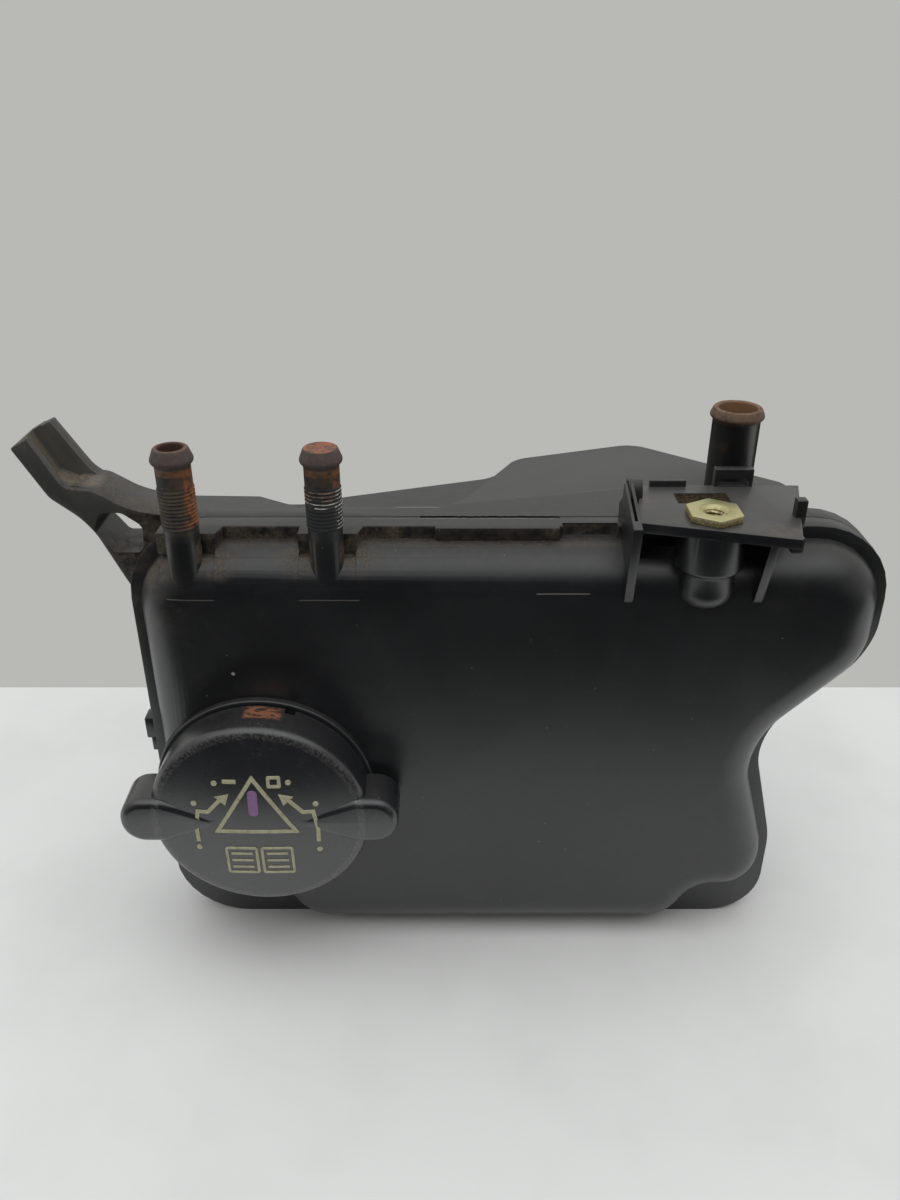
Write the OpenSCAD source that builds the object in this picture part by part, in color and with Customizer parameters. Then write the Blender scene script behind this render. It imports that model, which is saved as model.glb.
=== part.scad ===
// Coolant expansion tank: two moulded half shells welded along a flange, a threaded
// insert in a bracket, and a two-stage quarter-turn pressure cap with its valves.
// X runs to the right, Y away from the cap side and Z up. The origin lies under the
// front face of the weld flange, at the foot.

/* [Flange] */
// Left edge of the flange
flange_left = -102.6; // [-104:0.2:-101]
// Right edge of the flange at its upper lobe
flange_right = 104.6; // [103:0.2:107]
// Right edge of the flange at its lower corner
lower_right = 85.5; // [84:0.2:87]
// Height of the flange
flange_top = 139; // [137:0.5:142]
// Height of the waist in the right edge
waist_z = 71; // [68:0.5:74]
// How far the waist cuts in from the lower right edge
waist_in = 10; // [8:0.5:12]
// Corner radius of the flange
corner_r = 22; // [20:0.5:24]
// Thickness of the front half of the flange
front_flange_t = 6.2; // [5:0.1:7]
// Thickness of the rear half of the flange
rear_flange_t = 6.5; // [5:0.1:8]
// How far the flange stands proud of the front dish
flange_lip = 3.5; // [3:0.1:4]

/* [Shells] */
// Wall thickness of both shells
wall = 3; // [2.4:0.1:3.4]
// Depth of the front dish
dish_depth = 12; // [11.8:0.1:13]
// Radius of the rounded edge of the front dish
dish_round = 12; // [11:0.1:12]
// Depth of the shallow left part of the rear shell
shallow_depth = 21.5; // [20:0.5:24]
// Depth of the deep right part of the rear shell
deep_depth = 63; // [58:0.5:68]
// Where along X the rear shell is deepest
deep_x = 43; // [40:0.5:46]
// Right wall of the deep part
deep_right = 82; // [80:0.5:82]
// How far the shallow part lies below the flange top
shallow_drop = 3; // [2:0.1:4]
// Thickness of the baffle ribs inside the tank
rib_t = 2.5; // [2:0.1:3]
// Height of the flow gap under and over a baffle rib
rib_gap = 14; // [10:0.5:20]

/* [Vent spigots] */
// Axis of the left spigot
spigot_a_x = -84; // [-85:0.5:-83]
// Axis of the right spigot
spigot_b_x = -47; // [-50:0.5:-45]
// How far the spigot axes lie in front of the flange
spigot_fore = 7; // [6.8:0.1:7.2]
// Outer diameter of a spigot barrel
spigot_d = 9; // [8.4:0.1:9.4]
// Outer diameter of a spigot bead
spigot_bead_d = 10.8; // [10.4:0.1:11.4]
// Bore of a spigot
spigot_bore = 6; // [5:0.1:6.2]
// Height of a spigot tip above the flange
spigot_h = 24.5; // [22:0.5:28]
// Number of grip rings on a spigot
ring_count = 11; // [6:1:12]

/* [Outlet pipe] */
// Axis of the outlet pipe along X
outlet_x = 65; // [63:0.5:67]
// Axis of the outlet pipe along Y
outlet_y = 28; // [27:0.5:30]
// Outer diameter of the outlet pipe
outlet_d = 13.1; // [12:0.1:14]
// Outer diameter of the outlet bead
outlet_bead_d = 14.9; // [14.4:0.1:16]
// Bore of the outlet pipe
outlet_bore = 10.7; // [9:0.1:10.9]
// Height of the outlet tip above the flange
outlet_h = 23.5; // [20:0.5:28]

/* [Insert bracket] */
// Axis of the threaded insert along X
insert_x = 51.5; // [50:0.5:53]
// How far the insert axis lies in front of the flange
insert_fore = 9.9; // [9:0.1:11]
// Thread bore of the insert
thread_bore = 5; // [4.2:0.1:5.4]
// Width of the insert's hexagon across its flats
insert_hex = 13; // [12:0.1:14]
// How far the hexagon stands above the plate
insert_stand = 2.1; // [1.5:0.1:3]
// Diameter of the insert's barrel
insert_barrel = 9; // [8:0.1:10]
// Depth of the insert's barrel below the plate top
insert_depth = 12; // [10:0.5:12.5]
// Diameter of the boss under the plate
boss_d = 17.5; // [16:0.1:18.5]
// Height of the plate top above the flange
plate_rise = 7; // [6.5:0.5:9]
// Thickness of the plate
plate_t = 2.8; // [2.4:0.1:3.2]
// Angle of the plate's edges to the flange
plate_turn = 15; // [12:1:17]
// Thickness of the legs under the plate
leg_t = 2.4; // [2:0.1:3]

/* [Fork arm] */
// Reach of the arm's tip left of the flange
arm_reach = 27.2; // [25:0.2:29]
// Height of the arm's tip above the flange
arm_rise = 19.1; // [17:0.5:21]
// Width of the arm, front to back
arm_w = 16; // [14:0.2:17]
// Width of the guide channel in the fork end
channel_w = 9.2; // [8:0.1:9.8]
// Depth of the guide channel
channel_deep = 3; // [2:0.1:3.4]
// Thickness of the channel's front wall
channel_front = 2.6; // [2:0.1:3]

/* [Filler neck and cap] */
// Cap axis along X
cap_x = -68; // [-69:0.5:-66]
// Cap axis height
cap_z = 61.5; // [60:0.5:66]
// Wall of the filler neck
neck_wall = 4.4; // [4:0.1:4.6]
// How far the neck stands out from the flange
neck_out = 23.2; // [22.8:0.1:23.4]
// Height of the collar round the neck above the dish
collar_h = 2; // [1.5:0.1:2.2]
// How far the collar stands out past the cap's skirt
collar_lip = 0.8; // [0.4:0.1:1]
// Outer diameter of the cap
cap_d = 61; // [60:0.2:62]
// Wall of the cap skirt
skirt_wall = 2.6; // [2.2:0.1:2.8]
// How far the bayonet lugs stand out from the neck
lug_reach = 3; // [2.6:0.1:3.2]
// Span of the cap across its wings
wing_span = 77.4; // [75:0.2:79]
// Height of a wing
wing_h = 14.5; // [13:0.2:16]
// How far the cap's rim stands out from the flange
cap_rim = 26.5; // [26.2:0.1:27]
// Rise of the cap's domed face above its rim
dome_rise = 2; // [1:0.1:3]
// Radius of the seal ring section
seal_r = 1.3; // [1.2:0.05:1.35]
// Wire diameter of the pressure spring
spring_wire = 1.4; // [1.2:0.1:1.6]
// Lift of the pressure valve
valve_lift = 2; // [1.5:0.1:2.2]
// Stroke of the vacuum valve
vacuum_stroke = 1.2; // [1:0.1:1.4]

/* [Fits] */
// Radial clearance of the swivel between cap and valve body
swivel_gap = 0.08; // [0.05:0.01:0.1]
// Clearance between pieces that pass each other
pass_gap = 0.3; // [0.3:0.05:0.4]
// Clearance of a clipped or pressed piece
clip_gap = 0.1; // [0.05:0.05:0.15]

/* [Hidden] */
$fn = 64;
eps = 0.01;
big = 400;
plastic = [0.10, 0.105, 0.11];
cap_plastic = [0.17, 0.175, 0.18];
rubber = [0.07, 0.07, 0.07];
steel = [0.62, 0.63, 0.65];
zinc = [0.80, 0.78, 0.42];

// Outline corners as [across, up, radius], anticlockwise seen from the front.
waist_x = lower_right - waist_in;
lobe_z = waist_z + flange_right - waist_x;
FLANGE = [[flange_left, 0, corner_r], [lower_right, 0, 16],
          [lower_right, waist_z - 39, 30], [waist_x, waist_z, 20],
          [flange_right, lobe_z, corner_r], [flange_right, flange_top, corner_r],
          [flange_left, flange_top, corner_r]];

// The dish follows the flange but is cut back at its two lower corners.
dish_left = flange_left + flange_lip;
dish_right = lower_right - flange_lip;
dish_top = flange_top - flange_lip;
DISH = [[dish_left, 24, 13], [cap_x - 3, 20, 9], [cap_x + 7, flange_lip, 13],
        [lower_right - 30.5, flange_lip, 12.5], [lower_right - 22, 17, 8],
        [dish_right, 17, 12.5],
        [dish_right, waist_z - 37.5, 20], [waist_x - flange_lip - 0.5, waist_z, 23.5],
        [flange_right - flange_lip, lobe_z + 1.5, corner_r - flange_lip],
        [flange_right - flange_lip, dish_top, corner_r - flange_lip],
        [dish_left, dish_top, corner_r - flange_lip]];

// Plan of the whole rear body, and of the part that reaches up to the flange top,
// anticlockwise seen from above.
flange_back = front_flange_t + rear_flange_t;
REAR_PLAN = [[flange_left + 3, front_flange_t, 0.4],
             [flange_right - flange_lip, front_flange_t, 0.4],
             [flange_right - flange_lip, flange_back + 3, 2.5],
             [deep_right, flange_back + 3, 2.5],
             [deep_right, deep_depth - 33, 5], [deep_x, deep_depth, 8],
             [deep_x - 38, deep_depth - 13.5, 9],
             [deep_x - 47, deep_depth - 22, 7], [deep_x - 88, deep_depth - 36, 14],
             [deep_x - 99, shallow_depth, 8], [flange_left + 3, shallow_depth, 5]];
RAISED_PLAN = [[deep_x - 73, front_flange_t, 0.4], [deep_right, front_flange_t, 0.4],
               [deep_right, deep_depth - 33, 5], [deep_x, deep_depth, 8],
               [deep_x - 38, deep_depth - 13.5, 9],
               [deep_x - 56.3, flange_back + 0.2, 14],
               [deep_x - 73, flange_back + 0.2, 0.2]];

// The neck fits inside the cap: skirt, gap, lugs and wall leave its bore.
skirt_gap = 0.5;
neck_bore = cap_d - 2 * (skirt_wall + skirt_gap + lug_reach + neck_wall);

// Levels along the cap axis, measured forward from the flange front.
collar_out = dish_depth + collar_h;
skirt_rear = collar_out + pass_gap;
hook_t = 3;
lug_rear = skirt_rear + pass_gap + hook_t + 2 * pass_gap;
lug_t = neck_out - lug_rear - 2;
cap_inner = neck_out + 1.3;
neck_inner = 3;
core_front = neck_out - 2.8;
core_rear = neck_inner + 0.5;
core_bore = 0.725 * neck_bore;
core_roof = core_front - 2.4;
core_d = neck_bore - 1.4;
head_t = 1.6;
head_r = 9.9;
lip_t = 1.2;
lip_r = 8.2;
hook_span = 50;
lug_span = 70;

// The valves share the hollow of the valve body, so their radii follow it.
seat_bore_r = 0.55 * core_bore / 2;
seat_rim_r = 0.67 * core_bore / 2;
seal_bore_r = 0.32 * core_bore / 2;
spring_r = 0.72 * core_bore / 2;

// Levels of the valves, measured along the same axis.
seat_top = core_rear + 2.7;
seat_lip = 0.6;
seal_low = seat_top + seat_lip + pass_gap;
seal_t = 1.5;
plate_low = seal_low + seal_t;
valve_plate_t = 1.8;
plate_high = plate_low + valve_plate_t;
valve_cup_h = 2;
stem_d = 3;
vacuum_head_t = 1.2;
clip_low = plate_high + 3.2;
clip_t = 0.8;
stem_top = clip_low + clip_t + 0.4;

// Unit vector along v.
function unit(v) = v / norm(v);

// Vector v turned by an angle.
function turned(v, a) = [v[0] * cos(a) - v[1] * sin(a), v[0] * sin(a) + v[1] * cos(a)];

// Arc that rounds corner b between its neighbours a and c, moved inward by inset.
function corner_arc(a, b, c, inset, steps) =
    let (e1 = unit([b[0] - a[0], b[1] - a[1]]),
         e2 = unit([c[0] - b[0], c[1] - b[1]]),
         n1 = turned(e1, 90),
         n2 = turned(e2, 90),
         turn = atan2(e1[0] * e2[1] - e1[1] * e2[0], e1 * e2),
         side = turn < 0 ? -1 : 1,
         centre = [b[0], b[1]] + side * b[2] * (n1 + n2) / (1 + n1 * n2),
         r = max(0.05, b[2] - side * inset))
    [for (k = [0:steps]) centre - side * r * turned(n1, turn * k / steps)];

// Closed outline through rounded corners, moved inward by inset.
function outline(corners, inset = 0, steps = 6) =
    let (n = len(corners))
    [for (i = [0:n - 1])
        each corner_arc(corners[(i + n - 1) % n], corners[i], corners[(i + 1) % n],
                        inset, steps)];

// Ring of an outline at one level.
function ring(corners, inset, level) =
    [for (p = outline(corners, inset)) [p[0], p[1], level]];

// Rings that round an edge of radius r between the levels low and low + r.
function round_rings(corners, inset, low, r, steps = 6) =
    [for (k = [0:steps])
        ring(corners, inset + r * (1 - cos(90 * k / steps)),
             low + r * sin(90 * k / steps))];

// Solid through rings of equal length, from the lowest to the highest. Its two flat
// ends fan out from a hub, which must see every point of the outline.
module loft(rings, hub) {
    n = len(rings[0]);
    m = len(rings);
    low_hub = n * m;
    polyhedron(
        points = concat([for (one = rings) each one],
                        [[hub[0], hub[1], rings[0][0][2]],
                         [hub[0], hub[1], rings[m - 1][0][2]]]),
        faces = concat(
            [for (i = [0:n - 1]) [low_hub, i, (i + 1) % n]],
            [for (k = [0:m - 2], i = [0:n - 1])
                [k * n + i, (k + 1) * n + i, (k + 1) * n + (i + 1) % n,
                 k * n + (i + 1) % n]],
            [for (i = [0:n - 1])
                [low_hub + 1, (m - 1) * n + (i + 1) % n, (m - 1) * n + i]]));
}

// Turns a shape drawn flat so that its thickness points out of the tank's front.
module from_front() {
    rotate([90, 0, 0]) children();
}

// The same, centred on the cap axis.
module on_cap_axis() {
    translate([cap_x, 0, cap_z]) from_front() children();
}

// Plate between two distances behind the flange front, from a front outline.
module slab(near, far) {
    translate([0, far, 0])
        rotate([90, 0, 0])
            linear_extrude(far - near) children();
}

// Box from its low corner to its high corner.
module block(low, high) {
    translate(low) cube(high - low);
}

// Ring sector with a rectangular section.
module sector(inner, outer, low, high, middle, span) {
    rotate([0, 0, middle - span / 2])
        rotate_extrude(angle = span)
            translate([inner, low]) square([outer - inner, high - low]);
}

// Helical spring as a swept tube of eight sides.
module coil_spring(low, high, coil_r, wire, turns, sides = 8, per_turn = 16) {
    rise = high - low - wire;
    count = turns * per_turn;
    function spot(k, j) =
        let (a = 360 * k / per_turn, q = 360 * j / sides,
             r = coil_r + wire / 2 * cos(q))
        [r * cos(a), r * sin(a), low + wire / 2 + rise * k / count + wire / 2 * sin(q)];
    polyhedron(
        points = [for (k = [0:count], j = [0:sides - 1]) spot(k, j)],
        faces = concat(
            [[for (j = [0:sides - 1]) j]],
            [for (k = [0:count - 1], j = [0:sides - 1])
                [k * sides + j, (k + 1) * sides + j,
                 (k + 1) * sides + (j + 1) % sides, k * sides + (j + 1) % sides]],
            [[for (j = [sides - 1:-1:0]) count * sides + j]]));
}

// Half section of a hose spigot: barrel, grip rings and rounded bead.
function spigot_section(r, bead_r, top, low, rings, ring_low, pitch) = concat(
    [[0, low], [r, low]],
    [for (k = [0:rings - 1]) each [[r, ring_low + pitch * k],
                                   [r + 0.18, ring_low + pitch * (k + 0.35)],
                                   [r, ring_low + pitch * (k + 0.8)]]],
    [[r, top - 5.6], [bead_r - 0.35, top - 4.2], [bead_r, top - 3.4],
     [bead_r, top - 1.4], [bead_r - 0.35, top - 0.5], [bead_r - 1.1, top], [0, top]]);

module spigot(x, y, d, bead_d, top, low, rings) {
    translate([x, y, 0])
        rotate_extrude()
            polygon(spigot_section(d / 2, bead_d / 2, top, low, rings,
                                   flange_top + 3.5, 1));
}

// Shoulder of the flange behind a spigot, chamfered on its right.
module spigot_pad(x) {
    reach = 4.7;
    half = 7.8;
    translate([x, 0, flange_top - 6])
        linear_extrude(6)
            polygon([[-half, 1], [-half, -reach], [half, -reach], [half + 1.6, 1]]);
}

// Stretch of the flange front that is set back beside the bracket.
module flange_recess() {
    block([deep_x - 28.2, -1, dish_top], [deep_x - 13.6, 2.1, flange_top + 1]);
}

// Notch in the rounded edge of the dish in front of a spigot pad.
module spigot_notch(x) {
    floor_z = flange_top - 5.8;
    block([x - 7.5, -9.4, floor_z], [x + 7.5, -4, flange_top + 1]);
}

// Rounded front dish, from the flange out to its flat face.
module dish_solid(inset) {
    edge = dish_round - inset;
    straight = dish_depth - dish_round;
    from_front()
        loft(concat([ring(DISH, inset, inset == 0 ? -1 : -front_flange_t - 1)],
                    round_rings(DISH, inset, straight, edge)),
             [0, flange_top / 2]);
}

// Plan of the bracket plate: its front and ends are turned, its back is not.
plate_back = 11.4;
plate_left = insert_x - 20.9;
plate_w = 40.8;
plate_near = -12.9;
PLATE = [[plate_left, plate_near],
         [plate_left + plate_w * cos(plate_turn), plate_near - plate_w * sin(plate_turn)],
         [plate_left + plate_w * cos(plate_turn)
              + (plate_back - plate_near + plate_w * sin(plate_turn)) * tan(plate_turn),
          plate_back],
         [plate_left + (plate_back - plate_near) * tan(plate_turn), plate_back]];
plate_top = flange_top + plate_rise;
plate_under = plate_top - plate_t;

// Leg under the plate: a wall with a slanted front edge and, on the left, a peak.
module leg(x, front, peak) {
    foot_z = flange_top - 16.5;
    translate([x, 0, 0])
        rotate([90, 0, 90])
            linear_extrude(leg_t)
                polygon(concat([[front_flange_t, foot_z + 5], [-dish_depth + 1, foot_z - 1],
                                [-dish_depth - 0.8, foot_z + 1],
                                [front, plate_under + eps]],
                               peak > 0 ? [[front, plate_top - 0.5], [-2, plate_top + 1],
                                           [0.5, plate_top + peak],
                                           [2, plate_top + peak - 2]] : [],
                               [[front_flange_t, plate_under + eps]]));
}

// Bracket that carries the threaded insert above the dish.
module insert_bracket() {
    right_leg = insert_x + 12.6;
    left_leg = insert_x - 21.2;
    difference() {
        union() {
            translate([0, 0, plate_under]) linear_extrude(plate_t) polygon(PLATE);
            leg(left_leg, -16.6, 4.4);
            leg(right_leg, -19.5, 0);
            block([left_leg, front_flange_t - leg_t, flange_top - 1],
                  [insert_x + 24, front_flange_t, plate_under + eps]);
            translate([insert_x, -insert_fore, flange_top - 9])
                cylinder(d = boss_d, h = plate_rise + 9 - plate_t + eps);
            translate([insert_x, -insert_fore - 0.4, flange_top - 9.6])
                sphere(d = boss_d - 0.8);
        }
        block([insert_x - 7.2, -1.2, plate_under - 1], [insert_x + 6.8, 5.6, plate_top + 1]);
    }
    // Stub beside the left leg, with a sloped front.
    translate([left_leg + 1.3, 0, 0])
        rotate([90, 0, 90])
            linear_extrude(4)
                polygon([[2.2, plate_under], [front_flange_t, plate_under],
                         [front_flange_t, plate_top + 4.4], [4, plate_top + 4.4],
                         [2.2, plate_top + 1.5]]);
    // End block and fin at the right of the plate.
    block([insert_x + 18.6, -23.5, plate_under - 0.6],
          [insert_x + 22.6, -9, plate_top + 1.2]);
    block([insert_x + 21, -9.5, plate_under], [insert_x + 23.6, -7, plate_top + 4.6]);
    // Low rib and tie loop along the back edge.
    block([insert_x - 10.5, plate_back - 2, plate_top - eps],
          [insert_x - 0.5, plate_back, plate_top + 1.4]);
    difference() {
        block([insert_x + 6, plate_back - 2, plate_top - eps],
              [insert_x + 17, plate_back, plate_top + 5.2]);
        block([insert_x + 7.4, plate_back - 3, plate_top + 0.3],
              [insert_x + 15.6, plate_back + 1, plate_top + 2.8]);
    }
}

// Baffle rib inside the tank, at one place along X.
module baffle(x, near, far) {
    block([x - rib_t / 2, near, rib_gap], [x + rib_t / 2, far, flange_top - rib_gap]);
}
BAFFLES = [-18, 30];

// Front half: flange, dish, filler neck, vent spigots and insert bracket in one piece.
module front_shell() {
    neck_r = neck_bore / 2 + neck_wall;
    color(plastic)
        difference() {
            union() {
                difference() {
                    union() {
                        difference() {
                            dish_solid(0);
                            spigot_notch(spigot_a_x);
                            spigot_notch(spigot_b_x);
                        }
                        difference() {
                            slab(0, front_flange_t) polygon(outline(FLANGE));
                            flange_recess();
                        }
                        spigot_pad(spigot_a_x);
                        spigot_pad(spigot_b_x);
                        spigot(spigot_a_x, -spigot_fore, spigot_d, spigot_bead_d,
                               flange_top + spigot_h, flange_top - 17, ring_count);
                        spigot(spigot_b_x, -spigot_fore, spigot_d, spigot_bead_d,
                               flange_top + spigot_h, flange_top - 17, ring_count);
                        insert_bracket();
                        on_cap_axis() collar();
                        flange_details();
                    }
                    dish_solid(wall);
                }
                on_cap_axis()
                    translate([0, 0, neck_inner])
                        cylinder(r = neck_r, h = neck_out - neck_inner);
                on_cap_axis()
                    for (a = [0, 180])
                        sector(neck_r - 1, neck_r + lug_reach, lug_rear, lug_rear + lug_t,
                               a, lug_span);
                for (x = BAFFLES)
                    baffle(x, -dish_depth + 1, front_flange_t);
            }
            on_cap_axis() translate([0, 0, -1]) cylinder(d = neck_bore, h = neck_out + 2);
            translate([spigot_a_x, -spigot_fore, flange_top - 15])
                cylinder(d = spigot_bore, h = spigot_h + 16);
            translate([spigot_b_x, -spigot_fore, flange_top - 15])
                cylinder(d = spigot_bore, h = spigot_h + 15 - 4);
            translate([insert_x, -insert_fore, plate_top - insert_depth])
                cylinder(d = insert_barrel + 2 * clip_gap, h = insert_depth + 1);
        }
}

// Collar round the neck, with a chamfered front edge.
module collar() {
    r = cap_d / 2 + collar_lip;
    cylinder(r = r, h = collar_out - 0.6);
    translate([0, 0, collar_out - 0.6 - eps]) cylinder(r1 = r, r2 = r - 0.6, h = 0.6 + eps);
}

// Thicker stretches of the flange front and the small clip lugs on its edges.
module flange_details() {
    step = 1.4;
    block([deep_x - 62, -step, flange_top - flange_lip], [deep_x - 29, 1, flange_top]);
    block([deep_x - 61, -step, 0], [deep_x - 2, 1, flange_lip]);
    clip_z = flange_top / 2;
    block([flange_left - 2.6, 0.6, clip_z], [flange_left + 1, front_flange_t, clip_z + 7.1]);
    block([flange_left - 1.4, 0.6, clip_z - 4.5],
          [flange_left + 1, front_flange_t, clip_z + 0.5]);
}

// Outline of the arm's web, from the guide fork down to the flange edge.
tip_x = flange_left - arm_reach;
tip_z = flange_top + arm_rise;
ARM = [[tip_x, tip_z, 0.6], [tip_x + 7.6, tip_z - 13.9, 6],
       [flange_left - 10, flange_top - 2.4, 20], [flange_left - 1, flange_top - 23, 20],
       [flange_left + 6, flange_top - 30, 1], [flange_left + 12, flange_top - 6, 1],
       [flange_left + 12, flange_top, 1], [flange_left + 1.5, flange_top + 1.8, 20],
       [flange_left - 7.6, flange_top + 7.2, 6], [tip_x + 11.8, tip_z - 10.9, 3],
       [tip_x + 4.7, tip_z + 2.7, 0.6]];
// Outline of the higher rear cheek of the fork.
CHEEK = [[tip_x + 3.2, tip_z + 1.8, 0.3], [tip_x + 11, tip_z - 13, 0.5],
         [flange_left - 5.6, flange_top + 3.4, 0.4],
         [flange_left - 6.6, flange_top + 5, 0.4],
         [tip_x + 15.4, tip_z - 9.8, 8], [tip_x + 7.1, tip_z + 3.6, 0.4]];
// Rounded opening through the web.
EYE = [[flange_left - 9.2, flange_top - 4.6, 2.4], [flange_left - 4.6, flange_top - 10.8, 2],
       [flange_left + 3.4, flange_top - 10.8, 2], [flange_left + 4.4, flange_top - 3, 3],
       [flange_left - 1, flange_top + 1, 3], [flange_left - 7, flange_top + 1, 2.6]];

module fork_arm() {
    arm_back = front_flange_t + arm_w;
    channel_low = front_flange_t + channel_front;
    slope = atan2(-13.6, 7.1);
    difference() {
        union() {
            slab(front_flange_t, arm_back) polygon(outline(ARM));
            slab(channel_low + channel_w, arm_back) polygon(outline(CHEEK));
        }
        slab(front_flange_t - 1, arm_back + 1) polygon(outline(EYE));
        // Guide channel: open at the tip, its floor runs out in a ramp.
        translate([tip_x + 4.7, 0, tip_z + 2.7])
            rotate([0, -slope, 0])
                slab(channel_low, channel_low + channel_w)
                    polygon([[-3, -channel_deep], [12.5, -channel_deep],
                             [16.5, 0.4], [16.5, 6], [-3, 6]]);
    }
    // Strip along the top of the shell, fading out to the right.
    translate([0, 0, flange_top - 3.4])
        linear_extrude(3.4)
            polygon([[flange_left + 8, front_flange_t], [flange_left + 46, front_flange_t],
                     [flange_left + 46, flange_back + 1], [flange_left + 42, flange_back + 3],
                     [flange_left + 34, arm_back - 1.4], [flange_left + 12, arm_back - 0.6],
                     [flange_left + 8, arm_back]]);
}

// Body of the rear shell as the meeting of a front outline and a plan.
module rear_body(front_inset, plan_inset) {
    intersection() {
        slab(0, deep_depth + 10) polygon(outline(FLANGE, front_inset));
        translate([0, 0, -1]) linear_extrude(big) polygon(outline(REAR_PLAN, plan_inset));
    }
}

module raised_body(front_inset, plan_inset) {
    intersection() {
        slab(0, deep_depth + 10) polygon(outline(FLANGE, front_inset));
        translate([0, 0, -1]) linear_extrude(big) polygon(outline(RAISED_PLAN, plan_inset));
    }
}

// Rear half: flange, deep body, outlet pipe and fork arm in one piece.
module rear_shell() {
    color(plastic)
        difference() {
            union() {
                difference() {
                    union() {
                        slab(front_flange_t, flange_back) polygon(outline(FLANGE));
                        rear_body(shallow_drop, 0);
                        raised_body(0, 0);
                        fork_arm();
                        spigot(outlet_x, outlet_y, outlet_d, outlet_bead_d,
                               flange_top + outlet_h, flange_top - 2.5, 1);
                    }
                    slab(front_flange_t - 1, flange_back - 2.6)
                        polygon(outline(DISH, wall));
                    rear_body(shallow_drop + wall, wall);
                    raised_body(wall, wall);
                }
                for (x = BAFFLES)
                    intersection() {
                        rear_body(shallow_drop, 1);
                        baffle(x, front_flange_t, deep_depth + 5);
                    }
            }
            translate([outlet_x, outlet_y, flange_top - wall - 1])
                cylinder(d = outlet_bore, h = outlet_h + wall + 2);
        }
}

// Zinc-plated insert: hexagon head, barrel and chamfered thread bore.
module threaded_insert() {
    barrel_r = insert_barrel / 2;
    bottom = plate_top - insert_depth + clip_gap;
    color(zinc)
        translate([insert_x, -insert_fore, 0])
            difference() {
                union() {
                    translate([0, 0, plate_top])
                        cylinder(d = insert_hex / cos(30), h = insert_stand, $fn = 6);
                    translate([0, 0, bottom]) cylinder(r = barrel_r, h = plate_top - bottom + 1);
                }
                translate([0, 0, bottom - 1])
                    cylinder(d = thread_bore, h = insert_depth + insert_stand + 2);
                translate([0, 0, plate_top + insert_stand - 1])
                    cylinder(d1 = thread_bore, d2 = thread_bore + 2.2, h = 1 + eps);
            }
}

// Wing pair of the cap, one plate with rounded edges, narrow at the tips.
tip_r = wing_h / 2 - 0.2;
WINGS = [[-wing_span / 2, -wing_h / 2, tip_r], [wing_span / 2, -wing_h / 2, tip_r],
         [wing_span / 2, wing_h / 2, tip_r], [-wing_span / 2, wing_h / 2, tip_r]];

// Cap cover: domed face, skirt with bayonet hooks, wings and the swivel socket.
module cap_cover() {
    r = cap_d / 2;
    edge = 2.5;
    inner_r = r - skirt_wall;
    dome_r = r - edge;
    color(cap_plastic)
        on_cap_axis() {
            difference() {
                union() {
                    rotate_extrude()
                        polygon(concat(
                            [[0, skirt_rear], [r - 0.3, skirt_rear]],
                            [for (k = [0:6]) [dome_r + edge * cos(15 * k),
                                              cap_rim - edge + edge * sin(15 * k)]],
                            [for (k = [5:-1:0]) [dome_r * k / 6,
                                                 cap_rim + dome_rise * (1 - pow(k / 6, 2))]]));
                    loft(concat(round_down(WINGS, 0, skirt_rear + 1.2, 1.2),
                                round_rings(WINGS, 0, cap_rim - 3.6, 3)),
                         [0, 0]);
                }
                translate([0, 0, skirt_rear - 1])
                    cylinder(r = inner_r, h = cap_inner - skirt_rear + 1);
                // Small witness notch in the skirt's rear edge.
                rotate([0, 0, 76])
                    translate([inner_r - 1, -1.4, skirt_rear - 1])
                        cube([skirt_wall + 3, 2.8, 3]);
            }
            for (a = [90, 270])
                sector(neck_bore / 2 + neck_wall + 0.9, inner_r + 0.5,
                       skirt_rear + pass_gap, skirt_rear + pass_gap + hook_t, a, hook_span);
            difference() {
                translate([0, 0, cap_inner - pass_gap - head_t - pass_gap - lip_t])
                    cylinder(r = head_r + swivel_gap + 2, h = head_t + lip_t + 2 * pass_gap + eps);
                translate([0, 0, cap_inner - 2 * pass_gap - head_t])
                    cylinder(r = head_r + swivel_gap, h = head_t + 2 * pass_gap + 2 * eps);
                translate([0, 0, neck_inner]) cylinder(r = lip_r, h = neck_out - neck_inner);
            }
        }
}

// Rings that round the lower edge of a plate, from its underside upward.
function round_down(corners, inset, high, r, steps = 3) =
    [for (k = [0:steps])
        ring(corners, inset + r * (1 - sin(90 * k / steps)),
             high - r * cos(90 * k / steps))];

// Swivelling valve body: head, stem and plug with two seal grooves and vent ports.
groove_r = neck_bore / 2 - pass_gap - 2 * seal_r - clip_gap;
groove_w = 2 * seal_r + 0.3;
front_groove = core_front - 2.3 - groove_w;
rear_groove = core_rear + 2;

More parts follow.
